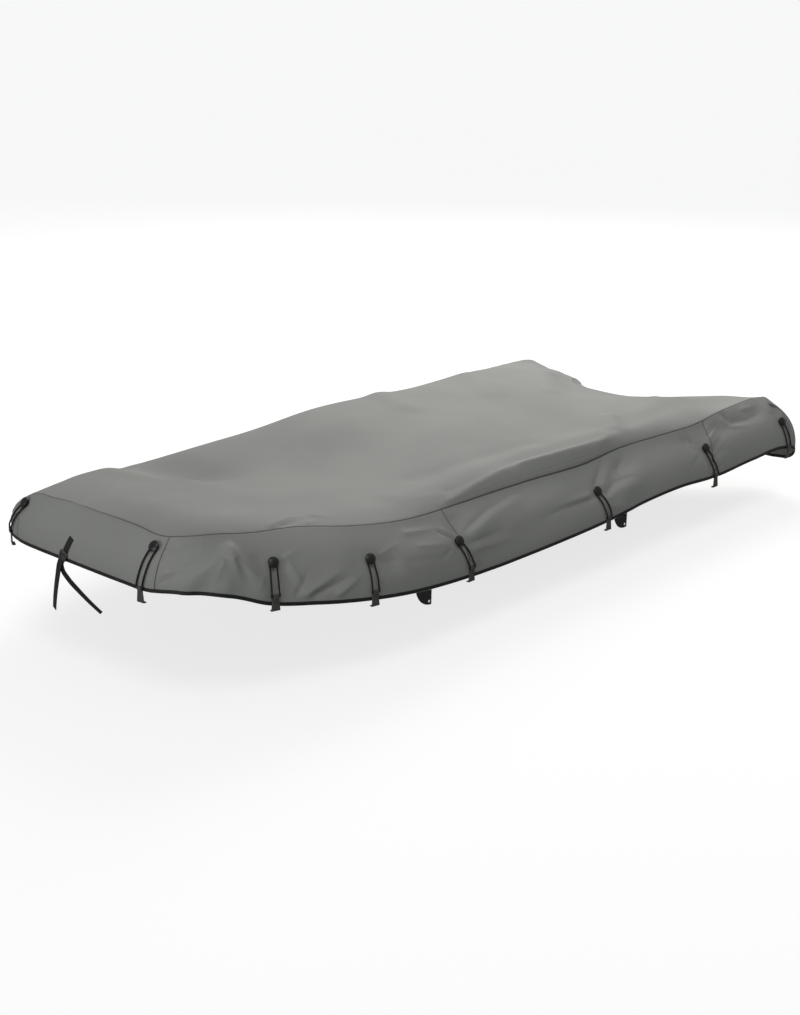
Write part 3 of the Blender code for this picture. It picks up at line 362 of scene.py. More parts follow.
KNOB_OUTLINE = table(
    Turn,
    (0.0, 0.0126), (0.0, 0.0136), (0.0004, 0.0140), (0.0009, 0.0138),
    (0.0013, 0.0120), (0.0015, 0.0090), (0.0020, 0.0080), (0.0060, 0.0078),
    (0.0088, 0.0080), (0.0094, 0.0090), (0.0098, 0.0150), (0.0101, 0.0182),
    (0.0108, 0.0192), (0.0118, 0.0195), (0.0130, 0.0193), (0.0138, 0.0187),
    (0.0141, 0.0178), (0.0138, 0.0170), (0.0140, 0.0163), (0.0150, 0.0150),
    (0.0164, 0.0120), (0.0175, 0.0085), (0.0181, 0.0045), (0.0182, 0.0008),
)
KNOB_FOOT = KNOB_OUTLINE[2].radius
KNOB_SIDES = 40
CORD_RADIUS = 0.0030
CORD_AT_STEM = 0.0056
LOOP_BEND = 0.0124
CORD_OFF_CLOTH = 0.0006
CORD_OFF_HOOK = 0.0008
CORD_STEP = 0.004
LEG_STEPS = (0.12, 0.22, 0.32, 0.42, 0.52, 0.62, 0.72, 0.82, 0.91)
LEG_LEVEL = 0.0190
HOOK_HEAD_WIDTH = 0.0190
HOOK_HEAD_HEIGHT = 0.0130
HOOK_TOP_WIDTH = 0.0240
HOOK_FOOT_WIDTH = 0.0330
HOOK_BODY = 0.0440
HOOK_THICK = 0.0030
HOOK_LIP = 0.0100
HOOK_HEAD_THICK = 0.0085
HOOK_NECK = 0.0015
HOOK_EDGE = 0.0011

HEM_TAB_RUNS = (1.378, 2.497)
TAB_WIDTH = 0.078
TAB_HEIGHT = 0.054
TAB_THICK = 0.0015
TAB_EYELET = 0.0080
TAB_EYELET_RIM = 0.0070
TAB_GAP = 0.0008
TAB_SLANT = 0.002
TAB_TIP = 0.012
EYELET_OUTLINE = table(
    Turn,
    (-0.0011, 0.0041), (-0.0013, 0.0052), (-0.0009, 0.0064),
    (0.0009, 0.0064), (0.0013, 0.0052), (0.0011, 0.0041),
)

# ---- bow strap
WEBBING_WIDTH = 0.025
WEBBING_THICK = 0.0018
BUCKLE_WIDTH = 0.036
BUCKLE_HEIGHT = 0.030
BUCKLE_THICK = 0.010
BUCKLE_RAIL = 0.0055
BUCKLE_EDGE = 0.0013
Bar = namedtuple("Bar", "up tall thick")
BUCKLE_BARS = table(
    Bar,
    (BUCKLE_HEIGHT / 2 - 0.0026, 0.0052, 0.55),
    (-0.0005, 0.0042, 0.8),
    (-BUCKLE_HEIGHT / 2 + 0.0028, 0.0056, 0.6),
)
Place = namedtuple("Place", "x y z")
TILT = math.radians(25.0)    # of the strap's tab and buckle
# where a strap's and the tab's columns lie, in widths of the webbing
STRAP_ACROSS = (-0.5, -0.47, -0.36, -0.24, -0.12, 0.0, 0.12, 0.24, 0.36, 0.47, 0.5)
TAB_ACROSS = (-0.5, -0.47, -0.3, -0.1, 0.1, 0.3, 0.47, 0.5)
STRAP_ROWS = 60
TAB_ROWS = 24
STRAP_GAP = 0.0006
STRAP_TAB_LENGTH = 0.058
BUCKLE_AT = Place(-1.6572, 0.0885, 0.1800)
TAIL_FORWARD = 0.0033
TAIL_ROUTE = table(
    Place,
    (-1.6625, 0.1035, 0.1475),
    (-1.6670, 0.1120, 0.1050),
    (-1.6700, 0.1210, 0.0600),
    (-1.6710, 0.1300, 0.0150),
    (-1.6690, 0.1385, -0.0220),
)
LONG_FORWARD = -0.0022
LONG_ROUTE = table(
    Place,
    (-1.6560, 0.1025, 0.1500),
    (-1.6560, 0.0965, 0.1250),
    (-1.6520, 0.0720, 0.0970),
    (-1.6410, 0.0330, 0.0620),
    (-1.6230, -0.0020, 0.0240),
    (-1.6020, -0.0330, -0.0120),
)
FACING_BOW = (-1.0, 0.0, 0.05)
TAIL_END_FACING = (-1.0, 0.25, 0.0)
LONG_END_FACING = (-0.90, 0.05, -0.25)

# ---- the view and the light
VIEW_AZIMUTH_DEG = 47.1
VIEW_ELEVATION_DEG = 18.2
VIEW_DISTANCE = 7.47
VIEW_TARGET = Vector((0.0, 0.0, -0.1813684))
LENS_MM = 66.79
SHIFT_X = -17.1 / 1015
SHIFT_Y = -30.8 / 1015
FLOOR_Z = -0.4814
FLOOR_HALF = 90.0
FLOOR_LINES = 13
WHITE = (1, 1, 1, 1)
SOFTBOX_AT = Vector((4.2, 3.0, 3.6))
SOFTBOX_SIZE = 3.2
SOFTBOX_WATTS = 265.0
Fill = namedtuple("Fill", "name towards strength spread_deg")
FILLS = table(
    Fill,
    ("bow_fill", Vector((-1.0, -0.10, 0.02)), 1.80, 40),
    ("top_fill", Vector((-0.30, -0.30, 1.0)), 0.65, 25),
)


# ---- small helpers
def smooth_curve(at, places, values):
    """A soft curve through values at these places (cubic, slopes from the neighbours)."""
    slopes = np.gradient(values, places)
    at = np.clip(at, places[0], places[-1])
    row = np.clip(np.searchsorted(places, at) - 1, 0, len(places) - 2)
    span = places[row + 1] - places[row]
    t = (at - places[row]) / span
    return (
        (2 * t**3 - 3 * t**2 + 1) * values[row]
        + (t**3 - 2 * t**2 + t) * span * slopes[row]
        + (3 * t**2 - 2 * t**3) * values[row + 1]
        + (t**3 - t**2) * span * slopes[row + 1]
    )


def looked_up(rows, at, *names):
    """Soft curves through a table's named columns; its first column is where."""
    places = np.array([row[0] for row in rows], float)
    found = [
        smooth_curve(at, places, np.array([getattr(row, name) for row in rows], float))
        for name in names
    ]
    return found if len(found) > 1 else found[0]


def unit(vectors):
    return vectors / np.linalg.norm(vectors, axis=-1, keepdims=True)


def upwards(height):
    return np.array([0.0, 0.0, height])


def eased(t):
    return t * t * (3 - 2 * t)


def bend(start, middle, end, t):
    """A place on the soft bend from start to end round a middle."""
    return (1 - t) ** 2 * start + 2 * t * (1 - t) * middle + t * t * end


def distances(points):
    """Each point's distance from the first, along the line through them."""
    return np.concatenate([[0], np.cumsum(np.linalg.norm(np.diff(points, axis=0), axis=1))])


def evenly(points, count):
    """This many places, evenly spread, on a soft curve through the points."""
    along = distances(points)
    at = np.linspace(0, along[-1], count)
    return np.stack([smooth_curve(at, along, points[:, k]) for k in range(3)], 1)


def from_line(px, py, x0, y0, x1, y1):
    """(share along, distance off) of places from the line between two others."""
    dx, dy = x1 - x0, y1 - y0
    t = np.clip(((px - x0) * dx + (py - y0) * dy) / (dx * dx + dy * dy), 0, 1)
    return t, np.hypot(px - x0 - t * dx, py - y0 - t * dy)


def fold_mark(px, py, fold):
    """Up to its lift on a fold's line, fading with the distance from it."""
    _, off = from_line(px, py, fold.x0, fold.y0, fold.x1, fold.y1)
    return fold.lift * np.exp(-((off / fold.width) ** 2))


def crease_mark(px, py, crease):
    """Up to its lift on a crease's route: soon full at its first place, fading out
    to its last."""
    route, before = crease.route, distances(crease.route)
    nearest = np.full(np.broadcast(px, py).shape, np.inf)
    share = np.zeros(nearest.shape)
    for start, end, gone, then in zip(route, route[1:], before, before[1:]):
        t, off = from_line(px, py, *start, *end)
        share = np.where(off < nearest, (gone + t * (then - gone)) / before[-1], share)
        nearest = np.minimum(off, nearest)
    line = np.exp(-((nearest / crease.width) ** CREASE_SHARPNESS))
    grown = np.clip(share * CREASE_GROWS + CREASE_AT_START, 0, 1)
    return crease.lift * line * grown * (1 - share**2)


def uneven_wave(at, pitch, seed):
    """A soft uneven wave between -1 and 1 along a line."""
    turns = np.random.default_rng(seed).uniform(-1, 1, WAVE_TURNS)
    step = np.asarray(at) / pitch + WAVE_START
    first = np.floor(step).astype(int)
    t = eased(step - first)
    return turns[first % WAVE_TURNS] * (1 - t) + turns[(first + 1) % WAVE_TURNS] * t


# ---- the outline
def half_outline():
    places = np.array([corner[:2] for corner in CORNERS])
    points = [places[0]]
    for before, middle, after, corner in zip(places, places[1:], places[2:], CORNERS[1:]):
        start = middle + unit(before - middle) * corner.rounding
        end = middle + unit(after - middle) * corner.rounding
        points += [bend(start, middle, end, t) for t in np.linspace(0, 1, CORNER_POINTS)]
    return np.array(points + [places[-1]])


class Outline:
    """The closed widest line. Loop places run from the nose along the near side,
    round the stern, and back along the far side."""

    STEP = 0.01
    SOFTEN = 0.05

    def __init__(self):
        half = half_outline()
        along = distances(half)
        self.half = along[-1]
        self.whole = 2 * self.half
        count = int(round(self.whole / self.STEP))
        self.places = np.arange(count) * self.whole / count
        run = np.minimum(self.places, self.whole - self.places)
        side = np.where(self.places < self.half, -1.0, 1.0)
        self.xs = np.interp(run, along, half[:, 0])
        self.ys = side * np.interp(run, along, half[:, 1])
        reach = int(self.SOFTEN / self.STEP)
        dx = np.roll(self.xs, -reach) - np.roll(self.xs, reach)
        dy = np.roll(self.ys, -reach) - np.roll(self.ys, reach)
        size = np.hypot(dx, dy)
        self.out_x = dy / size
        self.out_y = -dx / size
        if self.out_x[0] > 0:
            self.out_x = -self.out_x
            self.out_y = -self.out_y

    def _at(self, values, place):
        return np.interp(np.mod(place, self.whole), self.places, values, period=self.whole)

    def point(self, place):
        return self._at(self.xs, place), self._at(self.ys, place)

    def out(self, place):
        x = self._at(self.out_x, place)
        y = self._at(self.out_y, place)
        size = np.hypot(x, y)
        return x / size, y / size

    def run(self, place):
        place = np.mod(place, self.whole)
        return np.minimum(place, self.whole - place)

    def side(self, place):
        return np.where(np.mod(place, self.whole) < self.half, -1, 1)

    def place(self, side, run):
        return run if side < 0 else self.whole - run


OUTLINE = Outline()


def section_value(place, near_column, far_column=None):
    """A section column at loop places; the far side has its own column if given."""
    run = OUTLINE.run(place)
    near = looked_up(SECTIONS, run, near_column)
    if far_column is None:
        return near
    far = looked_up(SECTIONS, run, far_column)
    blend = np.clip(np.minimum(run, OUTLINE.half - run) / SIDES_MEET, 0, 1)
    chosen = np.where(OUTLINE.side(place) < 0, near, far)
    return (near + far) / 2 * (1 - blend) + chosen * blend


def line_height(place):
    x, _ = OUTLINE.point(place)
    share = np.clip((RISE_STARTS_X - x) / (RISE_STARTS_X + LENGTH / 2), 0, 1)
    return BOW_RISE * share**RISE_POWER + section_value(place, "line_up")


def seam_rise(place):
    angle = np.radians(section_value(place, "near_deg", "far_deg"))
    return angle * section_value(place, "radius")


def hem_rise(place):
    return section_value(place, "near_hem", "far_hem")


def fold_lift(place, rise):
    """How far the main folds push the wall out; nothing at the top seam."""
    run, side = OUTLINE.run(place), OUTLINE.side(place)
    total = sum(np.where(side == f.side, fold_mark(run, rise, f), 0) for f in MAIN_FOLDS)
    return total * eased(np.clip((seam_rise(place) - rise) / FOLDS_FADE, 0, 1))


def flattening(place, rise):
    """How far in the wall is pulled flat, most of it close under the top seam."""
    near, far = looked_up(FLATS, OUTLINE.run(place), "near", "far")
    t = np.clip((rise - FLAT_FROM_RISE) / (seam_rise(place) - FLAT_FROM_RISE), 0, 1)
    return np.where(OUTLINE.side(place) < 0, near, far) * FLAT_PEAK * t * t * (1 - t)


def creases(place, rise):
    far = OUTLINE.side(place) > 0
    run = OUTLINE.run(place)
    up = rise * seam_rise(run) / seam_rise(place)
    at = run - np.where(far, FAR_AFT, 0)
    total = sum(crease_mark(at, up, crease) for crease in WALL_CREASES)
    depth = CREASE_DEPTH * np.where(far, FAR_SHARE, 1)
    return depth * total * np.clip((seam_rise(place) - rise) / CREASES_FADE, 0, 1)


def seam_dip(off):
    """How deep the sewing sinks the cloth this far from a seam."""
    return SEAM_DIP * np.exp(-((off / SEAM_DIP_REACH) ** SEAM_DIP_SHARPNESS))


def puckers(place, rise):
    """How the sewing gathers the cloth along the top seam and the cross seams."""
    under = np.maximum(seam_rise(place) - rise, 0)
    wave = uneven_wave(place, TOP_PUCKER_PITCH, 5)
    total = TOP_PUCKER * wave * np.exp(-under / TOP_PUCKER_REACH)
    run, side, low = OUTLINE.run(place), OUTLINE.side(place), hem_rise(place)
    share = np.clip((rise - low) / (seam_rise(place) - low), 0, 1)
    for number, row in enumerate(PUCKERS):
        off = run - row.seam.at_hem - (row.seam.at_top - row.seam.at_hem) * share
        reach = np.where(off > 0, row.aft_reach, row.fore_reach)
        wave = uneven_wave(rise - PUCKER_SLANT * np.abs(off), row.pitch, 40 + number)
        gather = row.lift * wave * np.exp(-((np.abs(off) / reach) ** PUCKER_SHARPNESS))
        total = total + np.where(side == row.side, gather, 0)
    return total - seam_dip(under)


def wall(place, rise, lift=0.0, sewn=True):
    """(points, outward normals) of the wall's middle surface; lift is further out."""
    place, rise = np.asarray(place, float), np.asarray(rise, float)
    radius = section_value(place, "radius")
    x, y = OUTLINE.point(place)
    out_x, out_y = OUTLINE.out(place)
    angle = np.maximum(rise, 0) / radius
    inward = radius * (1 - np.cos(angle))
    height = line_height(place) + np.where(rise > 0, radius * np.sin(angle), rise)
    push = fold_lift(place, rise) + creases(place, rise) - flattening(place, rise) + lift
    if sewn:
        push = push + puckers(place, rise)
    normal = np.stack([out_x * np.cos(angle), out_y * np.cos(angle), np.sin(angle)], -1)
    point = np.stack([x - out_x * inward, y - out_y * inward, height], -1)
    return point + normal * push[..., None] + upwards(UP), normal


# ---- the top sheet
def turning(places):
    """How far the outline turns from each of these places to the next."""
    out_x, out_y = OUTLINE.out(places)
    return np.abs(np.diff(np.unwrap(np.arctan2(out_y, out_x))))


def loop_stretch(start, end, count):
    """Loop places from start to end, closer together where the outline turns."""
    fine = np.linspace(start, end, 400)
    steps = np.abs(np.diff(fine)) + CORNER_TIGHTEN * turning(fine)
    metric = np.concatenate([[0], np.cumsum(steps)])
    return np.interp(np.linspace(0, metric[-1], count), metric, fine)


def columns_between(start, end):
    turned = turning(np.linspace(start, end, 60)).sum()
    return int(round((abs(end - start) + CORNER_TIGHTEN * turned) / PANEL_STEP))


def top_places(finer):
    """The columns' places along the top seam: nose, fore, mid, aft, the lobe's side,
    and the stern between the two lobes' outer corners."""
    tops = [seam.at_top for seam in (BOW_SEAM, FORE_SEAM, AFT_SEAM, STERN_SEAM)]
    tops.append(LOBE_TURN)
    nose = loop_stretch(-tops[0], tops[0], TOP_COLUMNS * finer + 1)
    sides = [
        loop_stretch(a, b, columns_between(a, b) * finer + 1) for a, b in zip(tops, tops[1:])
    ]
    stern = loop_stretch(LOBE_TURN, OUTLINE.whole - LOBE_TURN, TOP_COLUMNS * finer + 1)
    return [nose] + sides + [stern]


def joined(stretches):
    return np.concatenate([stretches[0]] + [stretch[1:] for stretch in stretches[1:]])


def crown_height(x, across):
    """The sheet's free height; across is -1 at the near edge and +1 at the far one."""
    near, middle, far = looked_up(CROWNS, x, "near", "middle", "far")
    soft = eased(np.clip(np.abs(across) / CROWN_PLACE, 0, 1))
    return middle * (1 - soft) + np.where(across < 0, near, far) * soft


# the origin is the underside of the sheet's middle, half a cloth under its surface
CAD_CLOTH = 0.0015
UP = CAD_CLOTH / 2 - float(crown_height(np.array([0.0]), np.array([0.0]))[0])


def top_sheet():
    """(points, normals, distance to the sewn edge, distance along that edge) of the
    sheet's middle surface, rows from the bow aft and columns from far to near. Its
    four edges are taken in the order near, far, nose, stern."""
    nose, *sides, stern = top_places(TOP_FINER)
    even = np.linspace(0, 1, len(nose))
    crowded = even - EDGE_WEIGHT * np.sin(2 * math.pi * even) / (2 * math.pi)
    nose, stern = np.interp(crowded, even, nose), np.interp(crowded, even, stern)[::-1]
    near = joined(sides)[:, None]
    places = (near, OUTLINE.whole - near, nose[None], stern[None])
    edges, ups = zip(*(wall(p, seam_rise(p) + SEAM_GAP, sewn=False) for p in places))
    near, far, nose, stern = edges
    u = np.linspace(0, 1, len(near))[:, None, None]
    v = crowded[None, :, None]
    grid = (
        (1 - v) * far
        + v * near
        + (1 - u) * (nose - (1 - v) * nose[:, :1] - v * nose[:, -1:])
        + u * (stern - (1 - v) * stern[:, :1] - v * stern[:, -1:])
    )
    x, y = grid[..., 0], grid[..., 1]
    free = crown_height(x, 1 - 2 * v[..., 0] + 0 * x) + UP
    widths = looked_up(SHOULDERS, x, "near", "far") + [END_SHOULDER] * 2
    borders = (free[:, -1:], free[:, :1], free[:1], free[-1:])
    fades, lows = [], []
    for edge, width, border_height in zip(edges, widths, borders):
        apart = np.hypot(x - edge[..., 0], y - edge[..., 1])
        fades.append(np.clip(1 - apart / width, 0, 1) ** 2)
        lows.append(border_height - edge[..., 2])
    drop = sum(low * fade for low, fade in zip(lows, fades))
    for low, fade in zip(lows[2:], fades[2:]):
        drop = drop - fade * (low[:, -1:] * fades[0] + low[:, :1] * fades[1])
    off = [np.linalg.norm(grid - edge, axis=-1) for edge in edges]
    nearest = np.min(off, axis=0)
    folds = sum(fold_mark(x, y, fold) for fold in TOP_FOLDS)
    folds = folds * np.prod([1 - fade for fade in fades], axis=0)
    creased = sum(crease_mark(x, y, crease) for crease in TOP_CREASES)
    grid[..., 2] = free - drop + folds + creased * np.clip(nearest / CREASES_FADE, 0, 1)
    normal = grid_normals(grid)
    normal[:, -1:], normal[:, :1], normal[:1], normal[-1:] = ups
    weights = [np.exp(-(away - nearest) / EDGES_BLEND) for away in off]
    sewn = 0
    for place, away, weight in zip(places, off, weights):
        gather = (puckers(place, seam_rise(place)) + SEAM_DIP) * np.exp(-away / TOP_PUCKER_REACH)
        sewn = sewn + (gather - seam_dip(away)) * weight
    grid = grid + normal * (sewn / sum(weights))[..., None]
    along = np.choose(np.argmin(off, axis=0), [place + 0 * x for place in places])
    return grid, normal, nearest, along


def grid_normals(grid):
    """Unit normals of a grid of points, turned upwards."""
    normal = np.cross(np.gradient(grid, axis=1), np.gradient(grid, axis=0))
    normal *= np.sign(normal[..., 2:])
    return unit(normal)


# ---- meshes
def linked(name, data):
    made = bpy.data.objects.new(name, data)
    bpy.context.scene.collection.objects.link(made)
    return made


def add_object(name, data, finish):
    data.materials.append(finish)
    return linked(name, data)


def mesh_object(name, points, faces, finish, sharp_deg=40):
    mesh = bpy.data.meshes.new(name)
    mesh.from_pydata(np.asarray(points, float).tolist(), [], faces)
    mesh.validate()
    mesh.shade_smooth()
    mesh.set_sharp_from_angle(angle=math.radians(sharp_deg))
    return add_object(name, mesh, finish)


def closed_object(*details):
    """A mesh with no opening, its faces turned outwards."""
    thing = mesh_object(*details)
    shell = bmesh.new()
    shell.from_mesh(thing.data)
    bmesh.ops.recalc_face_normals(shell, faces=shell.faces)
    if shell.calc_volume(signed=True) < 0:
        bmesh.ops.reverse_faces(shell, faces=shell.faces)
    shell.to_mesh(thing.data)
    shell.free()
    return thing


def grid_quads(rows, columns):
    """Corner indices of the quads of a grid of points stored row by row."""
    first = np.arange(rows * columns).reshape(rows, columns)
    corners = (first[:-1, :-1], first[:-1, 1:], first[1:, 1:], first[1:, :-1])
    return np.stack([corner.ravel() for corner in corners], 1)


def wrapped_quads(rows, columns, ring=True):
    """The same where the columns run round, and the rows too in a ring."""
    first = np.arange(rows * columns).reshape(rows, columns)
    after = np.roll(first, -1, axis=0) if ring else first[1:]
    first = first[: len(after)]
    corners = [first, np.roll(first, -1, axis=1), np.roll(after, -1, axis=1), after]
    return np.stack(corners, -1).reshape(-1, 4).tolist()


def border(rows, columns):
    """Indices round a grid's border, in order."""
    first = np.arange(rows * columns).reshape(rows, columns)
    return np.concatenate([first[0, :-1], first[:-1, -1], first[-1, :0:-1], first[:0:-1, 0]])


def corner_points(mesh):
    """The point of each corner of the mesh's faces."""
    found = np.empty(len(mesh.loops), np.int32)
    mesh.loops.foreach_get("vertex_index", found)
    return found


def flat_layer(mesh, uv):
    """Stores one pair of flat coordinates, in metres, for each corner of the mesh."""
    layer = mesh.uv_layers.new(name="flat")
    layer.data.foreach_set("uv", np.asarray(uv, np.float32).ravel())


def point_values(mesh, name, values):
    """Stores a value for each point of a sheet, the same on its two faces."""
    stored = mesh.attributes.new(name, "FLOAT", "POINT")
    stored.data.foreach_set("value", np.tile(values.ravel(), 2).astype(np.float32))


def cloth_object(name, grid, normal, uv, to_edge, along, finish, thickness=CLOTH):
    """A closed sheet round a grid of middle points, with its flat coordinates in
    metres, and each point's distance to the nearest sewn edge and along that edge."""
    rows, columns = grid.shape[:2]
    count = rows * columns
    half = normal * thickness / 2
    points = np.vstack([(grid + half).reshape(-1, 3), (grid - half).reshape(-1, 3)])
    outer = grid_quads(rows, columns)
    ring = border(rows, columns)
    after = np.roll(ring, -1)
    sides = np.stack([after, ring, ring + count, after + count], 1)
    faces = np.vstack([outer, outer[:, ::-1] + count, sides])
    a, b, c = (points[outer[:, corner]] for corner in range(3))
    facing = np.einsum("ij,ij->i", np.cross(b - a, c - a), normal.reshape(-1, 3)[outer[:, 0]])
    if np.median(facing) < 0:
        faces = faces[:, ::-1]
    mesh = bpy.data.meshes.new(name)
    mesh.from_pydata(points.tolist(), [], faces.tolist())
    flat_layer(mesh, np.vstack([uv.reshape(-1, 2)] * 2)[corner_points(mesh)])
    point_values(mesh, "to_edge", to_edge)
    point_values(mesh, "along", along)
    mesh.shade_smooth()
    return add_object(name, mesh, finish)


# ---- cloth
def hem_places(tops, start, end):
    """Where columns at these top places meet the hem, between two slanting seams."""
    share = (tops - tops[0]) / (tops[-1] - tops[0])
    return tops + (start.at_hem - start.at_top) * (1 - share) + (end.at_hem - end.at_top) * share


def mirrored(seam):
    return Seam(OUTLINE.whole - seam.at_hem, OUTLINE.whole - seam.at_top)


def turned_back(seam):
    return Seam(-seam.at_hem, -seam.at_top)


def wall_layout(finer):
    """(name, top places, start seam, end seam) of every wall panel, round the loop."""
    nose, fore, mid, aft, lobe, stern = top_places(finer)
    whole = OUTLINE.whole
    round_stern = joined([lobe, stern, whole - lobe[::-1]])
    seams = (BOW_SEAM, FORE_SEAM, AFT_SEAM, STERN_SEAM)
    sides = list(zip(("fore", "mid", "aft"), (fore, mid, aft), seams, seams[1:]))
    rows = [("bow", nose, turned_back(BOW_SEAM), BOW_SEAM)]
    rows += [("side_near_" + word, tops, start, end) for word, tops, start, end in sides]
    rows.append(("stern", round_stern, STERN_SEAM, mirrored(STERN_SEAM)))
    for word, tops, start, end in sides[::-1]:
        rows.append(("side_far_" + word, whole - tops[::-1], mirrored(end), mirrored(start)))
    return rows


def row_shares(height):
    """Shares of a wall's height for its rows, closer together at both sewn edges."""
    edge = np.array(EDGE_ROWS) / height
    inner = np.linspace(edge[-1], 1 - edge[-1], int(height / WALL_ROW))
    return np.concatenate([edge[:-1], inner, 1 - edge[-2::-1]])


def wall_panel(tops, start, end):
    """(points, normals, flat coordinates, distance to the nearest sewn edge and along
    it) of a wall panel."""
    trim = np.zeros(len(tops))
    trim[0] = math.copysign(SEAM_GAP / 2, tops[-1] - tops[0])
    trim[-1] = -trim[0]
    t = row_shares(WALL_HEIGHT)[:, None]
    place = (1 - t) * hem_places(tops, start, end) + t * tops + trim
    low, high = hem_rise(place) - TUCK, seam_rise(place)
    rise = low + t * (high - low)
    grid, normal = wall(place, rise)
    ends = np.minimum(np.abs(place - place[:, :1]), np.abs(place - place[:, -1:]))
    along = np.where(ends < high - rise, rise, place)
    return grid, normal, np.stack([place, rise], -1), np.minimum(ends, high - rise), along


def binding_section():
    """The folded tape's cross-section, (out, down), as one closed ring."""
    half, deep = BINDING_THICK / 2, BINDING_WIDTH
    inside = half - TAPE_THICK
    outer = [(half - 0.0003, 0.0), (half, 0.0012), (half, deep - 0.0030)]
    outer.append((half * 0.75, deep - 0.0008))
    back = [(-out, down) for out, down in outer[::-1]]
    slot = [(-inside, deep - 0.0036), (0.0, deep - 0.0026), (inside, deep - 0.0036)]
    ring = outer + [(0.0, deep)] + back + [(-inside, 0.0004)] + slot + [(inside, 0.0004)]
    return np.array(ring)


def hem_binding(finish):
    stretches = [hem_places(tops, start, end) for _, tops, start, end in wall_layout(WALL_FINER)]
    places = joined(stretches)[:-1]
    upper, out = wall(places, hem_rise(places))
    out = unit(out * np.array([1, 1, 0]))
    ring = binding_section()
    points = upper[:, None] + out[:, None] * ring[None, :, :1] - upwards(1) * ring[None, :, 1:]
    rows, columns = points.shape[:2]
    made = closed_object(
        "binding", points.reshape(-1, 3), wrapped_quads(rows, columns), finish, 60
    )
    corners = corner_points(made.data)
    uv = np.stack([places[corners // columns], distances(ring)[corners % columns]], -1)
    # the last column of faces runs on to the loop's full length, not back to its start
    faces_end = uv.reshape(-1, 4, 2)
    wraps = np.ptp(faces_end[..., 0], axis=1) > OUTLINE.half
    faces_end[..., 0] += wraps[:, None] * (faces_end[..., 0] < places[0] + 1e-6) * OUTLINE.whole
    flat_layer(made.data, uv)
    return made


# ---- fastenings
class Ground:
    """The cloth and binding as they lie, to seat pieces on."""

    REACH = 0.06

    def __init__(self, things):
        points, faces = [], []
        for thing in things:
            base = len(points)
            points += [v.co.copy() for v in thing.data.vertices]
            faces += [[base + i for i in face.vertices] for face in thing.data.polygons]
        self.tree = BVHTree.FromPolygons(points, faces)

    def height(self, point, out):
        """How far the outermost cloth lies over this point, along out."""
        start = Vector(point) + Vector(out) * self.REACH
        hit = self.tree.ray_cast(start, -Vector(out), 2 * self.REACH)
        return None if hit[0] is None else self.REACH - hit[3]

    def highest(self, points, out):
        found = [self.height(p, out) for p in points]
        return max([h for h in found if h is not None], default=0.0)


def frame_at(place, rise):
    """(point, along, down, out) at a place on the wall."""
    point, out = wall(np.array([place]), np.array([rise]))
    out_x, out_y = OUTLINE.out(place)
    along = unit(np.array([-out_y, out_x, 0.0]))
    down = np.cross(out[0], along)
    return point[0], along, -down if down[2] > 0 else down, out[0]


def turned(name, outline, base, side, axis, finish, sides, sharp_deg, ring=False):
    """A piece turned on a lathe round an axis: closed at both ends, or a ring."""
    angles = (np.arange(sides) * 2 * math.pi / sides)[:, None]
    spokes = np.cos(angles) * side + np.sin(angles) * np.cross(axis, side)
    points = np.vstack([base + spokes * turn.radius + axis * turn.height for turn in outline])
    faces = wrapped_quads(len(outline), sides, ring)
    if not ring:
        faces += [list(range(sides)), list(range(len(points) - sides, len(points)))]
    return closed_object(name, points, faces, finish, sharp_deg)


def leg_point(ground, point, out):
    """A point of a taut leg, moved out until the cord lies on the cloth."""
    around = [point + step * CORD_RADIUS for step in np.vstack([np.eye(3), -np.eye(3)])]
    cloth = ground.highest([point] + around, out)
    return point + out * max(cloth + CORD_RADIUS + CORD_OFF_CLOTH, 0.0)


def loop_route(knob_base, knob_out, hook_base, hook_along, hook_out, ground):
    """The cord's centre line: from the hook's head up one leg, round the knob's
    stem, and down the other leg."""
    centre = knob_base + knob_out * CORD_AT_STEM
    head = hook_base + upwards(HOOK_HEAD_HEIGHT * 0.45) + hook_out * HOOK_HEAD_THICK / 2
    pull = head - centre
    pull = unit(pull - knob_out * np.dot(pull, knob_out))
    across = np.cross(knob_out, pull)
    if np.dot(across, hook_along) < 0:
        across = -across
    reach = HOOK_HEAD_WIDTH / 2 + CLEAR
    legs = []
    for sign in (-1, 1):
        turn = head + hook_along * sign * (reach + CORD_RADIUS + CORD_OFF_HOOK)
        low = turn + upwards(HOOK_HEAD_HEIGHT)
        high = centre + pull * LEG_LEVEL + across * sign * LOOP_BEND
        leg = [head + hook_along * sign * reach, turn, low]
        for t in LEG_STEPS:
            out = unit(hook_out * (1 - t) + knob_out * t)
            leg.append(leg_point(ground, low * (1 - t) + high * t, out))
        legs.append(leg + [high])
    round_stem = [
        centre + (across * math.sin(a) - pull * math.cos(a)) * LOOP_BEND
        for a in np.radians((-90, -45, 0, 45, 90))
    ]
    return np.array(legs[0] + round_stem + legs[1][::-1])


def rounded_route(points):
    """The route through these points with soft corners, evenly stepped."""
    return evenly(points, int(distances(points)[-1] / CORD_STEP) + 1)


def cord_object(name, route, radius, finish):
    curve = bpy.data.curves.new(name, "CURVE")
    curve.dimensions = "3D"
    curve.bevel_depth = radius
    curve.bevel_resolution = 4
    curve.use_fill_caps = True
    spline = curve.splines.new("POLY")
    spline.points.add(len(route) - 1)
    for slot, p in zip(spline.points, route):
        slot.co = (*map(float, p), 1.0)
    return add_object(name, curve, finish)


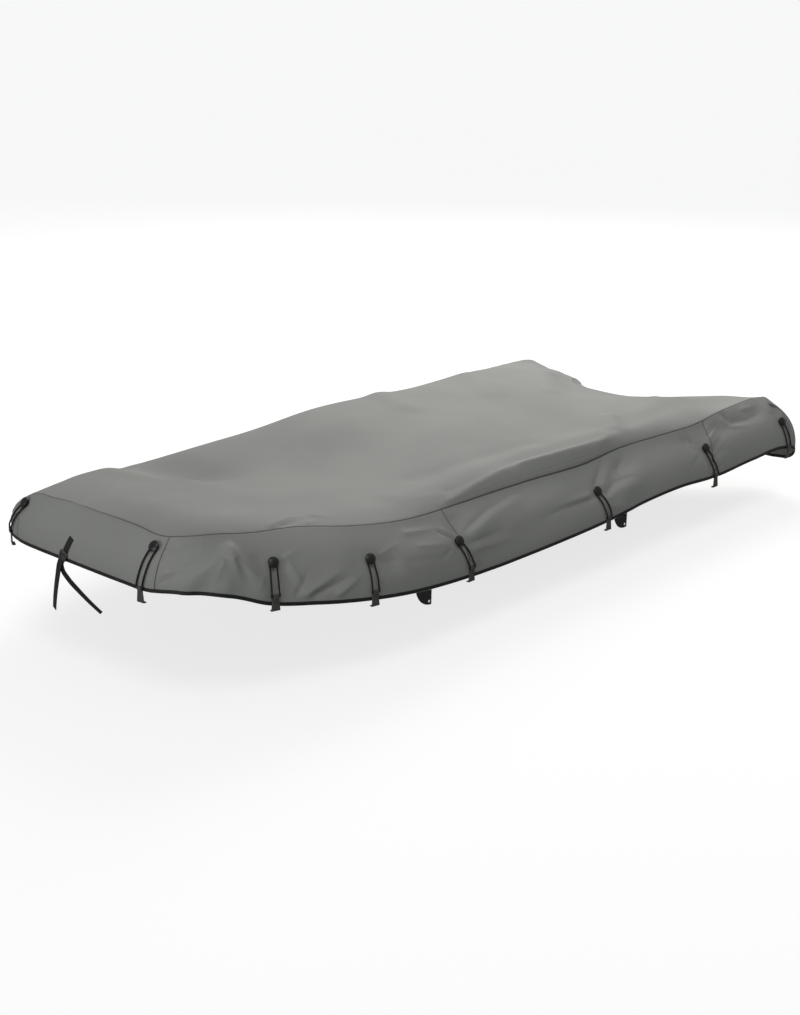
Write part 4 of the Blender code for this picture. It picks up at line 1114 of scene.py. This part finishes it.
def rounded(thing, width):
    """Rounds the edges of a mesh, and keeps the result."""
    edges = thing.modifiers.new("edges", "BEVEL")
    edges.width = width
    edges.segments = 3
    edges.limit_method = "ANGLE"
    edges.angle_limit = math.radians(30)
    graph = bpy.context.evaluated_depsgraph_get()
    shaped = bpy.data.meshes.new_from_object(thing.evaluated_get(graph))
    thing.modifiers.clear()
    old, thing.data = thing.data, shaped
    bpy.data.meshes.remove(old)
    shaped.name = thing.name
    shaped.shade_smooth()
    shaped.set_sharp_from_angle(angle=math.radians(50))
    return thing


def flat_hook(name, base, along, down, out, finish):
    """A flat hook: a head that holds the cord's ends, a widening plate, and a lip
    that turns in. The base is the middle of the plate's inner face at its top."""
    lip_down = HOOK_BODY - HOOK_THICK
    # (down, out) on the outer face, the same on the inner face, and the width
    outline = (
        (-HOOK_HEAD_HEIGHT, HOOK_HEAD_THICK, -HOOK_HEAD_HEIGHT, 0.0, HOOK_HEAD_WIDTH),
        (-HOOK_NECK, HOOK_HEAD_THICK, -HOOK_NECK, 0.0, HOOK_HEAD_WIDTH),
        (0.0, HOOK_THICK, 0.0, 0.0, HOOK_TOP_WIDTH),
        (HOOK_BODY, HOOK_THICK, lip_down, 0.0, HOOK_FOOT_WIDTH),
        (HOOK_BODY, -HOOK_LIP, lip_down, -HOOK_LIP, HOOK_FOOT_WIDTH),
    )
    points = [
        base + down * row[face] + out * row[face + 1] + along * (sign * row[4] / 2)
        for sign in (-1, 1)
        for face in (0, 2)
        for row in outline
    ]
    n = len(outline)
    faces = [(0, 2 * n, 3 * n, n), (n - 1, 2 * n - 1, 4 * n - 1, 3 * n - 1)]
    for k in range(n - 1):
        faces += [
            (k, k + 1, 2 * n + k + 1, 2 * n + k),
            (n + k, 3 * n + k, 3 * n + k + 1, n + k + 1),
            (k, n + k, n + k + 1, k + 1),
            (2 * n + k, 2 * n + k + 1, 3 * n + k + 1, 3 * n + k),
        ]
    return rounded(closed_object(name, points, faces, finish, 30), HOOK_EDGE)


def fasten(fastening, ground):
    """One knob, the flat hook under it, and the cord loop between them."""
    name, side = fastening.name, fastening.side
    place = OUTLINE.place(side, fastening.knob_run)
    point, along, down, out = frame_at(place, fastening.knob_rise)
    ring = [
        point + (along * math.cos(a) + down * math.sin(a)) * KNOB_FOOT * share
        for a in np.arange(24) * math.pi / 12
        for share in (0.3, 0.6, 0.8, 1.02)
    ]
    base = point + out * (ground.highest(ring + [point], out) + CLEAR)
    knob = turned(
        "knob_piece_" + name, KNOB_OUTLINE, base, along, out, FINISHES["knob"], KNOB_SIDES, 35
    )
    belongs(knob, "black_plastic", "knob_" + name)

    place = OUTLINE.place(side, fastening.hook_run)
    point, along, _, hook_out = frame_at(place, hem_rise(place))
    hook_out = unit(hook_out * np.array([1, 1, 0]))
    down = upwards(-1)
    top = point + down * (BINDING_WIDTH - fastening.over_hem)
    touch = [
        top + along * w + down * d
        for w in np.linspace(-HOOK_FOOT_WIDTH / 2, HOOK_FOOT_WIDTH / 2, 9)
        for d in np.linspace(-HOOK_HEAD_HEIGHT, fastening.over_hem, 12)
    ]
    hook_base = top + hook_out * (ground.highest(touch, hook_out) + CLEAR)
    hook = flat_hook("hook_piece_" + name, hook_base, along, down, hook_out, FINISHES["hook"])
    belongs(hook, "grey_plastic", "flat_hook_" + name)
    route = rounded_route(loop_route(base, out, hook_base, along, hook_out, ground))
    loop = cord_object("cord_" + name, route, CORD_RADIUS, FINISHES["cord"])
    belongs(loop, "black_cord", "cord_loop_" + name)


# ---- hem tabs and the bow strap
def hem_tab(name, side, run):
    """A fin of doubled tape under the binding: a straight after edge, a curved
    fore edge, and one small eyelet near the tip."""
    ends = OUTLINE.place(side, run) - side * np.array([-1, 1]) * TAB_WIDTH / 2
    hem, outs = wall(ends, hem_rise(ends))
    aft = unit(hem[1] - hem[0])
    out = unit(np.cross(aft, upwards(-side)))
    if np.dot(out, outs[0]) < 0:
        out = -out
    top = hem.mean(axis=0) - upwards(BINDING_WIDTH + TAB_GAP)
    corner = np.array([-TAB_WIDTH / 2, 0.0])
    tip = np.array([TAB_WIDTH / 2 - TAB_SLANT, -TAB_HEIGHT])
    blunt = tip - [TAB_TIP, 0]
    pull = np.array([-TAB_WIDTH * 0.28, -TAB_HEIGHT * 0.92])
    curve = [bend(corner, pull, blunt, t) for t in np.linspace(0, 1, 25)[:-1]]
    outline = [np.array([TAB_WIDTH / 2, 0.0])] + curve + [blunt, tip]
    rim = TAB_EYELET / 2 + TAB_EYELET_RIM
    eye = tip + np.array([-rim, rim + TAB_SLANT])
    angles = np.arange(20) * math.pi / 10
    hole = eye + np.stack([np.cos(angles), np.sin(angles)], 1) * TAB_EYELET / 2

    def spot(flat):
        return top + aft * flat[0] + upwards(flat[1])

    rims = [[spot(p) for p in line] for line in (outline, hole)]
    fin = holed_plate(name, rims, out, TAB_THICK, FINISHES["tape"])
    metal = FINISHES["eyelet"]
    return fin, turned(name + "_eyelet", EYELET_OUTLINE, spot(eye), aft, out, metal, 24, 50, True)


def holed_plate(name, rims, out, thickness, finish):
    """A flat plate with one hole: its two faces filled between outline and hole."""
    shell = bmesh.new()
    edges = []
    for points in rims:
        rim = [shell.verts.new(Vector(p - out * thickness / 2)) for p in points]
        edges += [shell.edges.new(pair) for pair in zip(rim, rim[1:] + rim[:1])]
    filled = bmesh.ops.triangle_fill(shell, use_beauty=True, edges=edges)
    faces = [f for f in filled["geom"] if isinstance(f, bmesh.types.BMFace)]
    raised = bmesh.ops.extrude_face_region(shell, geom=faces)
    moved = [v for v in raised["geom"] if isinstance(v, bmesh.types.BMVert)]
    bmesh.ops.translate(shell, verts=moved, vec=Vector(out * thickness))
    bmesh.ops.recalc_face_normals(shell, faces=shell.faces)
    mesh = bpy.data.meshes.new(name)
    shell.to_mesh(mesh)
    shell.free()
    return add_object(name, mesh, finish)


def webbing(name, middle, normal, wide):
    """A woven strap along these middle points, with thin rounded selvedges."""
    across = np.array(STRAP_ACROSS)[None] * WEBBING_WIDTH
    grid = middle[:, None] + wide[:, None] * across[..., None]
    normals = np.repeat(normal[:, None], across.size, axis=1)
    along = distances(middle)[:, None]
    uv = np.stack(np.broadcast_arrays(across, along), -1)
    to_edge = WEBBING_WIDTH / 2 - np.abs(across) + 0 * along
    run = along + 0 * across
    tape = FINISHES["tape"]
    return cloth_object(name, grid, normals, uv, to_edge, run, tape, WEBBING_THICK)


def free_strap(name, forward, route, end_facing):
    """(a flat strap from the buckle's lower edge along a route of places, its length)"""
    down = BUCKLE_HEIGHT / 2 + STRAP_GAP
    start = np.array(BUCKLE_AT) + [-forward, down * math.sin(TILT), -down * math.cos(TILT)]
    middle = evenly(np.array([start, *route]), STRAP_ROWS)
    share = np.linspace(0, 1, STRAP_ROWS)[:, None]
    facing = np.array(FACING_BOW) * (1 - share) + np.array(end_facing) * share
    tangent = np.gradient(middle, axis=0)
    wide = unit(np.cross(tangent, facing))
    normal = unit(np.cross(wide, tangent))
    strap = webbing(name, middle + upwards(UP), normal, wide)
    return strap, float(distances(middle)[-1])


def strap_tab(name):
    """The webbing sewn to the bow panel, lying on it down to the buckle."""
    foot = BUCKLE_HEIGHT / 2 + STRAP_GAP
    back = foot + np.linspace(0, STRAP_TAB_LENGTH, TAB_ROWS)[:, None]
    side = np.array(TAB_ACROSS)[None] * WEBBING_WIDTH
    run = BUCKLE_AT.y - back * math.sin(TILT) + side * math.cos(TILT)
    rise = BUCKLE_AT.z - BOW_RISE + back * math.cos(TILT) + side * math.sin(TILT)
    off = CAD_CLOTH / 2 + WEBBING_THICK / 2 + CLEAR
    grid, normal = wall(OUTLINE.whole - run, rise, off)
    uv = np.stack(np.broadcast_arrays(side, back), -1)
    to_edge = WEBBING_WIDTH / 2 - np.abs(side) + 0 * back
    along = back + 0 * side
    tape = FINISHES["tape"]
    return cloth_object(name, grid, normal, uv, to_edge, along, tape, WEBBING_THICK)


def buckle():
    """A ladder buckle: a rounded frame with two slots between its three bars."""
    width, height, deep = BUCKLE_WIDTH, BUCKLE_HEIGHT, BUCKLE_THICK
    rail = BUCKLE_RAIL
    boxes = [
        (0.0, sign * (width - rail) / 2, 0.0, deep * 0.62, rail, height - 0.001)
        for sign in (-1, 1)
    ]
    boxes += [
        (0.0, 0.0, bar.up, deep * bar.thick, width - rail, bar.tall) for bar in BUCKLE_BARS
    ]
    shell = bmesh.new()
    for box in boxes:
        made = bmesh.ops.create_cube(shell, size=1)
        bmesh.ops.scale(shell, verts=made["verts"], vec=box[3:])
        bmesh.ops.translate(shell, verts=made["verts"], vec=box[:3])
    mesh = bpy.data.meshes.new("ladder_buckle")
    shell.to_mesh(mesh)
    shell.free()
    made = add_object("ladder_buckle", mesh, FINISHES["hook"])
    for v in made.data.vertices:
        y, z = v.co.y, v.co.z
        v.co.y = y * math.cos(TILT) - z * math.sin(TILT) + BUCKLE_AT.y
        v.co.z = y * math.sin(TILT) + z * math.cos(TILT) + BUCKLE_AT.z + UP
        v.co.x += BUCKLE_AT.x
    return rounded(made, BUCKLE_EDGE)


# ---- finishes
WEAVE_PITCH = 0.0011
RIB_PITCH = 0.0014
RIB_WANDER_PITCH = 0.0031
TWILL_PITCH = 0.0009
STITCH_PITCH = 0.0042
STITCH_ROWS = (0.0046, 0.0105)   # how far from the sewn edge the two rows run


class Value:
    """A socket of a finish's nodes; sums on it add Math nodes."""

    def __init__(self, finish, socket):
        self.finish = finish
        self.socket = socket

    def _math(self, operation, *values):
        return self.finish.node("ShaderNodeMath", {"operation": operation}, dict(enumerate(values)))

    def __add__(self, other):
        return self._math("ADD", self, other)

    def __sub__(self, other):
        return self._math("SUBTRACT", self, other)

    def __rsub__(self, other):
        return self._math("SUBTRACT", other, self)

    def __mul__(self, other):
        return self._math("MULTIPLY", self, other)

    __radd__ = __add__
    __rmul__ = __mul__

    def sine(self):
        return self._math("SINE", self)

    def absolute(self):
        return self._math("ABSOLUTE", self)

    def share(self, low, high):
        """0 below low, 1 above high, soft between."""
        settings = {"interpolation_type": "SMOOTHSTEP"}
        sockets = {"Value": self, "From Min": low, "From Max": high}
        return self.finish.node("ShaderNodeMapRange", settings, sockets)


class Finish:
    """One material, made of nodes."""

    def __init__(self, name, roughness, metallic=0.0):
        self.made = bpy.data.materials.new(name)
        self.made.use_nodes = True
        self.tree = self.made.node_tree
        self.shader = self.tree.nodes["Principled BSDF"]
        self.shader.inputs["Roughness"].default_value = roughness
        self.shader.inputs["Metallic"].default_value = metallic

    def put(self, socket, value):
        if isinstance(value, Value):
            self.tree.links.new(value.socket, socket)
        else:
            socket.default_value = value

    def node(self, kind, settings, sockets, output=0):
        """Adds a node: its settings first, then its sockets' values or links."""
        made = self.tree.nodes.new(kind)
        for name, value in settings.items():
            setattr(made, name, value)
        for name, value in sockets.items():
            self.put(made.inputs[name], value)
        return Value(self, made.outputs[output])

    def place(self):
        return self.node("ShaderNodeTexCoord", {}, {}, "Object")

    def flat(self):
        return self.node("ShaderNodeUVMap", {"uv_map": "flat"}, {})

    def parts(self, vector):
        split = self.node("ShaderNodeSeparateXYZ", {}, {"Vector": vector})
        return [Value(self, out) for out in split.socket.node.outputs]

    def noise(self, scale, detail=3.0):
        sockets = {"Scale": scale, "Detail": detail, "Vector": self.place()}
        return self.node("ShaderNodeTexNoise", {}, sockets)

    def stored(self, name):
        return self.node("ShaderNodeAttribute", {"attribute_name": name}, {}, "Fac")

    def mix(self, factor, first, second):
        """A colour between two, by a factor."""
        settings = {"data_type": "RGBA"}
        return self.node("ShaderNodeMix", settings, {0: factor, 6: first, 7: second}, 2)

    def shaded(self, colour, amount):
        """A colour times a number."""
        settings = {"operation": "SCALE"}
        return self.node("ShaderNodeVectorMath", settings, {0: colour, "Scale": amount})

    def bump(self, height, distance, strength=1.0, under=None):
        sockets = {"Height": height, "Distance": distance, "Strength": strength}
        if under is not None:
            sockets["Normal"] = under
        return self.node("ShaderNodeBump", {}, sockets)

    def wear(self, **sockets):
        for name, value in sockets.items():
            self.put(self.shader.inputs[name.replace("_", " ")], value)
        return self.made


def coated_cloth():
    """Matt coated polyester: plain weave, faint mottling, twin rows of dark stitches along the sewn
    edges, and a darkening right at the sewn edges that is partly the seam's dark thread and partly
    painted shade in the seam's groove."""
    finish = Finish("coated_cloth", 0.78)
    u, v, _ = finish.parts(finish.flat())
    turn = 2 * math.pi / WEAVE_PITCH
    weave = (u * turn).sine() * (v * turn).sine()
    mottle = finish.noise(2.2, 4.0)
    speck = finish.noise(160.0, 2.0)
    pale = (0.272, 0.268, 0.258, 1.0)
    dull = (0.250, 0.247, 0.239, 1.0)
    colour = finish.mix(mottle.share(0.30, 0.72), pale, dull)
    sewn = finish.stored("to_edge")
    # painted shade: the cloth darkens within a few millimetres of every sewn edge, partly the
    # seam's dark thread and partly shade painted into the seam's groove
    edge = 1 - sewn.share(0.0006, 0.0030)
    dash = (finish.stored("along") * (2 * math.pi / STITCH_PITCH)).sine().share(-0.55, -0.25)
    rows = [1 - (sewn - off).absolute().share(0.0003, 0.0008) for off in STITCH_ROWS]
    stitch = (rows[0] + rows[1]) * dash
    # the edge term is the painted seam shade (with the seam's dark thread); the stitch and speck
    # terms are the cloth's own colour
    tone = (1 - edge * 0.68) * (1 - stitch * 0.25) * (0.985 + speck * 0.03)
    colour = finish.shaded(colour, tone)
    grain = finish.bump(weave, 0.00008, 0.5)
    soft = finish.bump(finish.noise(26.0, 3.0), 0.0010, 0.30, grain)
    thread = finish.bump(stitch, 0.0003, 0.5, soft)
    return finish.wear(Base_Color=colour, Roughness=0.72 + mottle * 0.10, Normal=thread)


def black_tape():
    """Woven tape and webbing: fine ribs across, a twill along, a slight sheen."""
    finish = Finish("black_tape", 0.55)
    u, v, _ = finish.parts(finish.flat())
    wander = (u * (2 * math.pi / RIB_WANDER_PITCH)).sine() * 1.2
    rib = (v * (2 * math.pi / RIB_PITCH) + wander).sine()
    cross = (u * (2 * math.pi / TWILL_PITCH)).sine()
    fluff = finish.noise(70.0)
    deep = (0.004, 0.004, 0.005, 1)
    worn = (0.010, 0.010, 0.011, 1)
    colour = finish.mix(fluff.share(0.35, 0.75), deep, worn)
    woven = finish.bump(rib * 0.7 + cross * 0.3, 0.0003, 0.5)
    return finish.wear(Base_Color=colour, Roughness=0.46 + fluff * 0.16, Normal=woven)


def black_cord():
    finish = Finish("black_cord", 0.8)
    braid = finish.node("ShaderNodeTexVoronoi", {}, {"Scale": 620.0, "Vector": finish.place()})
    colour = finish.mix(braid.share(0.1, 0.6), (0.012, 0.012, 0.013, 1), (0.004, 0.004, 0.005, 1))
    return finish.wear(Base_Color=colour, Normal=finish.bump(braid, 0.0008, 0.8))


def plastic(name, dark, light, roughness):
    finish = Finish(name, roughness)
    scuff = finish.noise(90.0, 5.0)
    colour = finish.mix(scuff.share(0.35, 0.75), dark, light)
    grain = finish.bump(finish.noise(900.0, 2.0), 0.0002, 0.25)
    return finish.wear(Base_Color=colour, Roughness=roughness + scuff * 0.12, Normal=grain)


def eyelet_metal():
    finish = Finish("eyelet_metal", 0.35, 1.0)
    worn = finish.noise(300.0, 4.0)
    colour = finish.mix(worn, (0.55, 0.55, 0.56, 1), (0.38, 0.38, 0.39, 1))
    return finish.wear(Base_Color=colour, Roughness=0.28 + worn * 0.25)


def split_for_camera(tree, otherwise, shown, output):
    """The camera sees one shader, and every other ray meets the other one."""
    seen = tree.nodes.new("ShaderNodeLightPath")
    pick = tree.nodes.new("ShaderNodeMixShader")
    sources = (seen.outputs["Is Camera Ray"], otherwise.outputs[0], shown.outputs[0])
    for source, socket in zip(sources, pick.inputs):
        tree.links.new(source, socket)
    tree.links.new(pick.outputs[0], tree.nodes[output].inputs["Surface"])


def floor_paper():
    """White paper that shows only a faint shadow, and throws little light back up."""
    finish = Finish("floor_paper", 0.95)
    colour = finish.mix(finish.noise(0.4), (0.31, 0.31, 0.31, 1), (0.29, 0.29, 0.29, 1))
    made = finish.wear(Base_Color=colour, Emission_Color=WHITE, Emission_Strength=0.76)
    dim = finish.tree.nodes.new("ShaderNodeBsdfDiffuse")
    dim.inputs["Color"].default_value = (0.30, 0.31, 0.29, 1)
    split_for_camera(finish.tree, dim, finish.shader, "Material Output")
    return made


FINISHES = {
    "cloth": coated_cloth(),
    "tape": black_tape(),
    "cord": black_cord(),
    "knob": plastic("black_plastic", (0.004, 0.004, 0.004, 1), (0.010, 0.009, 0.009, 1), 0.34),
    "hook": plastic("grey_plastic", (0.058, 0.055, 0.053, 1), (0.082, 0.078, 0.075, 1), 0.46),
    "eyelet": eyelet_metal(),
}


def belongs(piece, slot, *nodes):
    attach(piece, "root")
    if nodes:
        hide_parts(*nodes)
    return piece


# ---- putting the cover together
def view_camera():
    azimuth, elevation = math.radians(VIEW_AZIMUTH_DEG), math.radians(VIEW_ELEVATION_DEG)
    level = math.cos(elevation)
    ahead = Vector((math.sin(azimuth) * level, math.cos(azimuth) * level, -math.sin(elevation)))
    lens = bpy.data.cameras.new("view")
    lens.lens = LENS_MM
    lens.sensor_width = 36.0
    lens.shift_x, lens.shift_y = SHIFT_X, SHIFT_Y
    lens.clip_end = 400.0
    camera = linked("view", lens)
    camera.location = VIEW_TARGET - ahead * VIEW_DISTANCE
    camera.rotation_mode = "QUATERNION"
    camera.rotation_quaternion = ahead.to_track_quat("-Z", "Y")
    bpy.context.scene.camera = camera


def lights():
    softbox = bpy.data.lights.new("softbox", "AREA")
    softbox.size = SOFTBOX_SIZE
    softbox.energy = SOFTBOX_WATTS
    softbox.color = (1.0, 0.985, 0.96)
    placed = [(softbox, SOFTBOX_AT)]
    for row in FILLS:
        fill = bpy.data.lights.new(row.name, "SUN")
        fill.energy = row.strength
        fill.color = (0.97, 1.0, 0.985)
        fill.angle = math.radians(row.spread_deg)
        placed.append((fill, row.towards))
    for light, towards in placed:
        lamp = linked(light.name, light)
        lamp.location = towards
        lamp.rotation_euler = towards.to_track_quat("Z", "Y").to_euler()
    world = bpy.data.worlds.new("studio")
    world.use_nodes = True
    sky = world.node_tree.nodes["Background"]
    sky.inputs["Color"].default_value = (0.95, 1.0, 0.985, 1)
    sky.inputs["Strength"].default_value = 0.30
    white = world.node_tree.nodes.new("ShaderNodeBackground")
    white.inputs["Color"].default_value = WHITE
    split_for_camera(world.node_tree, sky, white, "World Output")
    bpy.context.scene.world = world
    bpy.context.scene.view_settings.view_transform = "Standard"


def floor():
    line = np.linspace(-FLOOR_HALF, FLOOR_HALF, FLOOR_LINES)
    x, y = np.meshgrid(line, line)
    points = np.stack([x, y, np.full_like(x, FLOOR_Z)], -1).reshape(-1, 3)
    faces = grid_quads(FLOOR_LINES, FLOOR_LINES).tolist()
    mesh_object("floor", points, faces, floor_paper())


def sewn_panel(name, shape):
    """One cut panel of the cover, from its shape's points and values."""
    panel = cloth_object(name + "_cloth", *shape, FINISHES["cloth"])
    node = name.replace("side_", "side_panel_") if "side" in name else name + "_panel"
    belongs(panel, "coated_cloth", node)
    return panel


def main():
    view_camera()
    lights()
    floor()
    grid, normal, to_edge, along = top_sheet()
    sewn = [sewn_panel("top", (grid, normal, grid[..., :2], to_edge, along))]
    for name, tops, start, end in wall_layout(WALL_FINER):
        sewn.append(sewn_panel(name, wall_panel(tops, start, end)))
    sewn.append(belongs(hem_binding(FINISHES["tape"]), "black_tape", "hem_binding"))
    ground = Ground(sewn)
    for fastening in FASTENINGS:
        fasten(fastening, ground)
    for side, word in ((-1, "near"), (1, "far")):
        for number, run in enumerate(HEM_TAB_RUNS, 1):
            fin, eyelet = hem_tab(f"tab_{word}_{number}", side, run)
            belongs(fin, "black_tape", f"hem_tab_{word}_{number}")
            belongs(eyelet, "grey_plastic")
    tab = belongs(strap_tab("bow_strap_tab"), "black_tape", "strap_tab")
    for node, *route in (
        ("strap_tail", TAIL_FORWARD, TAIL_ROUTE, TAIL_END_FACING),
        ("strap_long", LONG_FORWARD, LONG_ROUTE, LONG_END_FACING),
    ):
        strap, length = free_strap("bow_" + node, *route)
        belongs(strap, "black_tape", node)
    belongs(buckle(), "grey_plastic", "strap_buckle")


main()
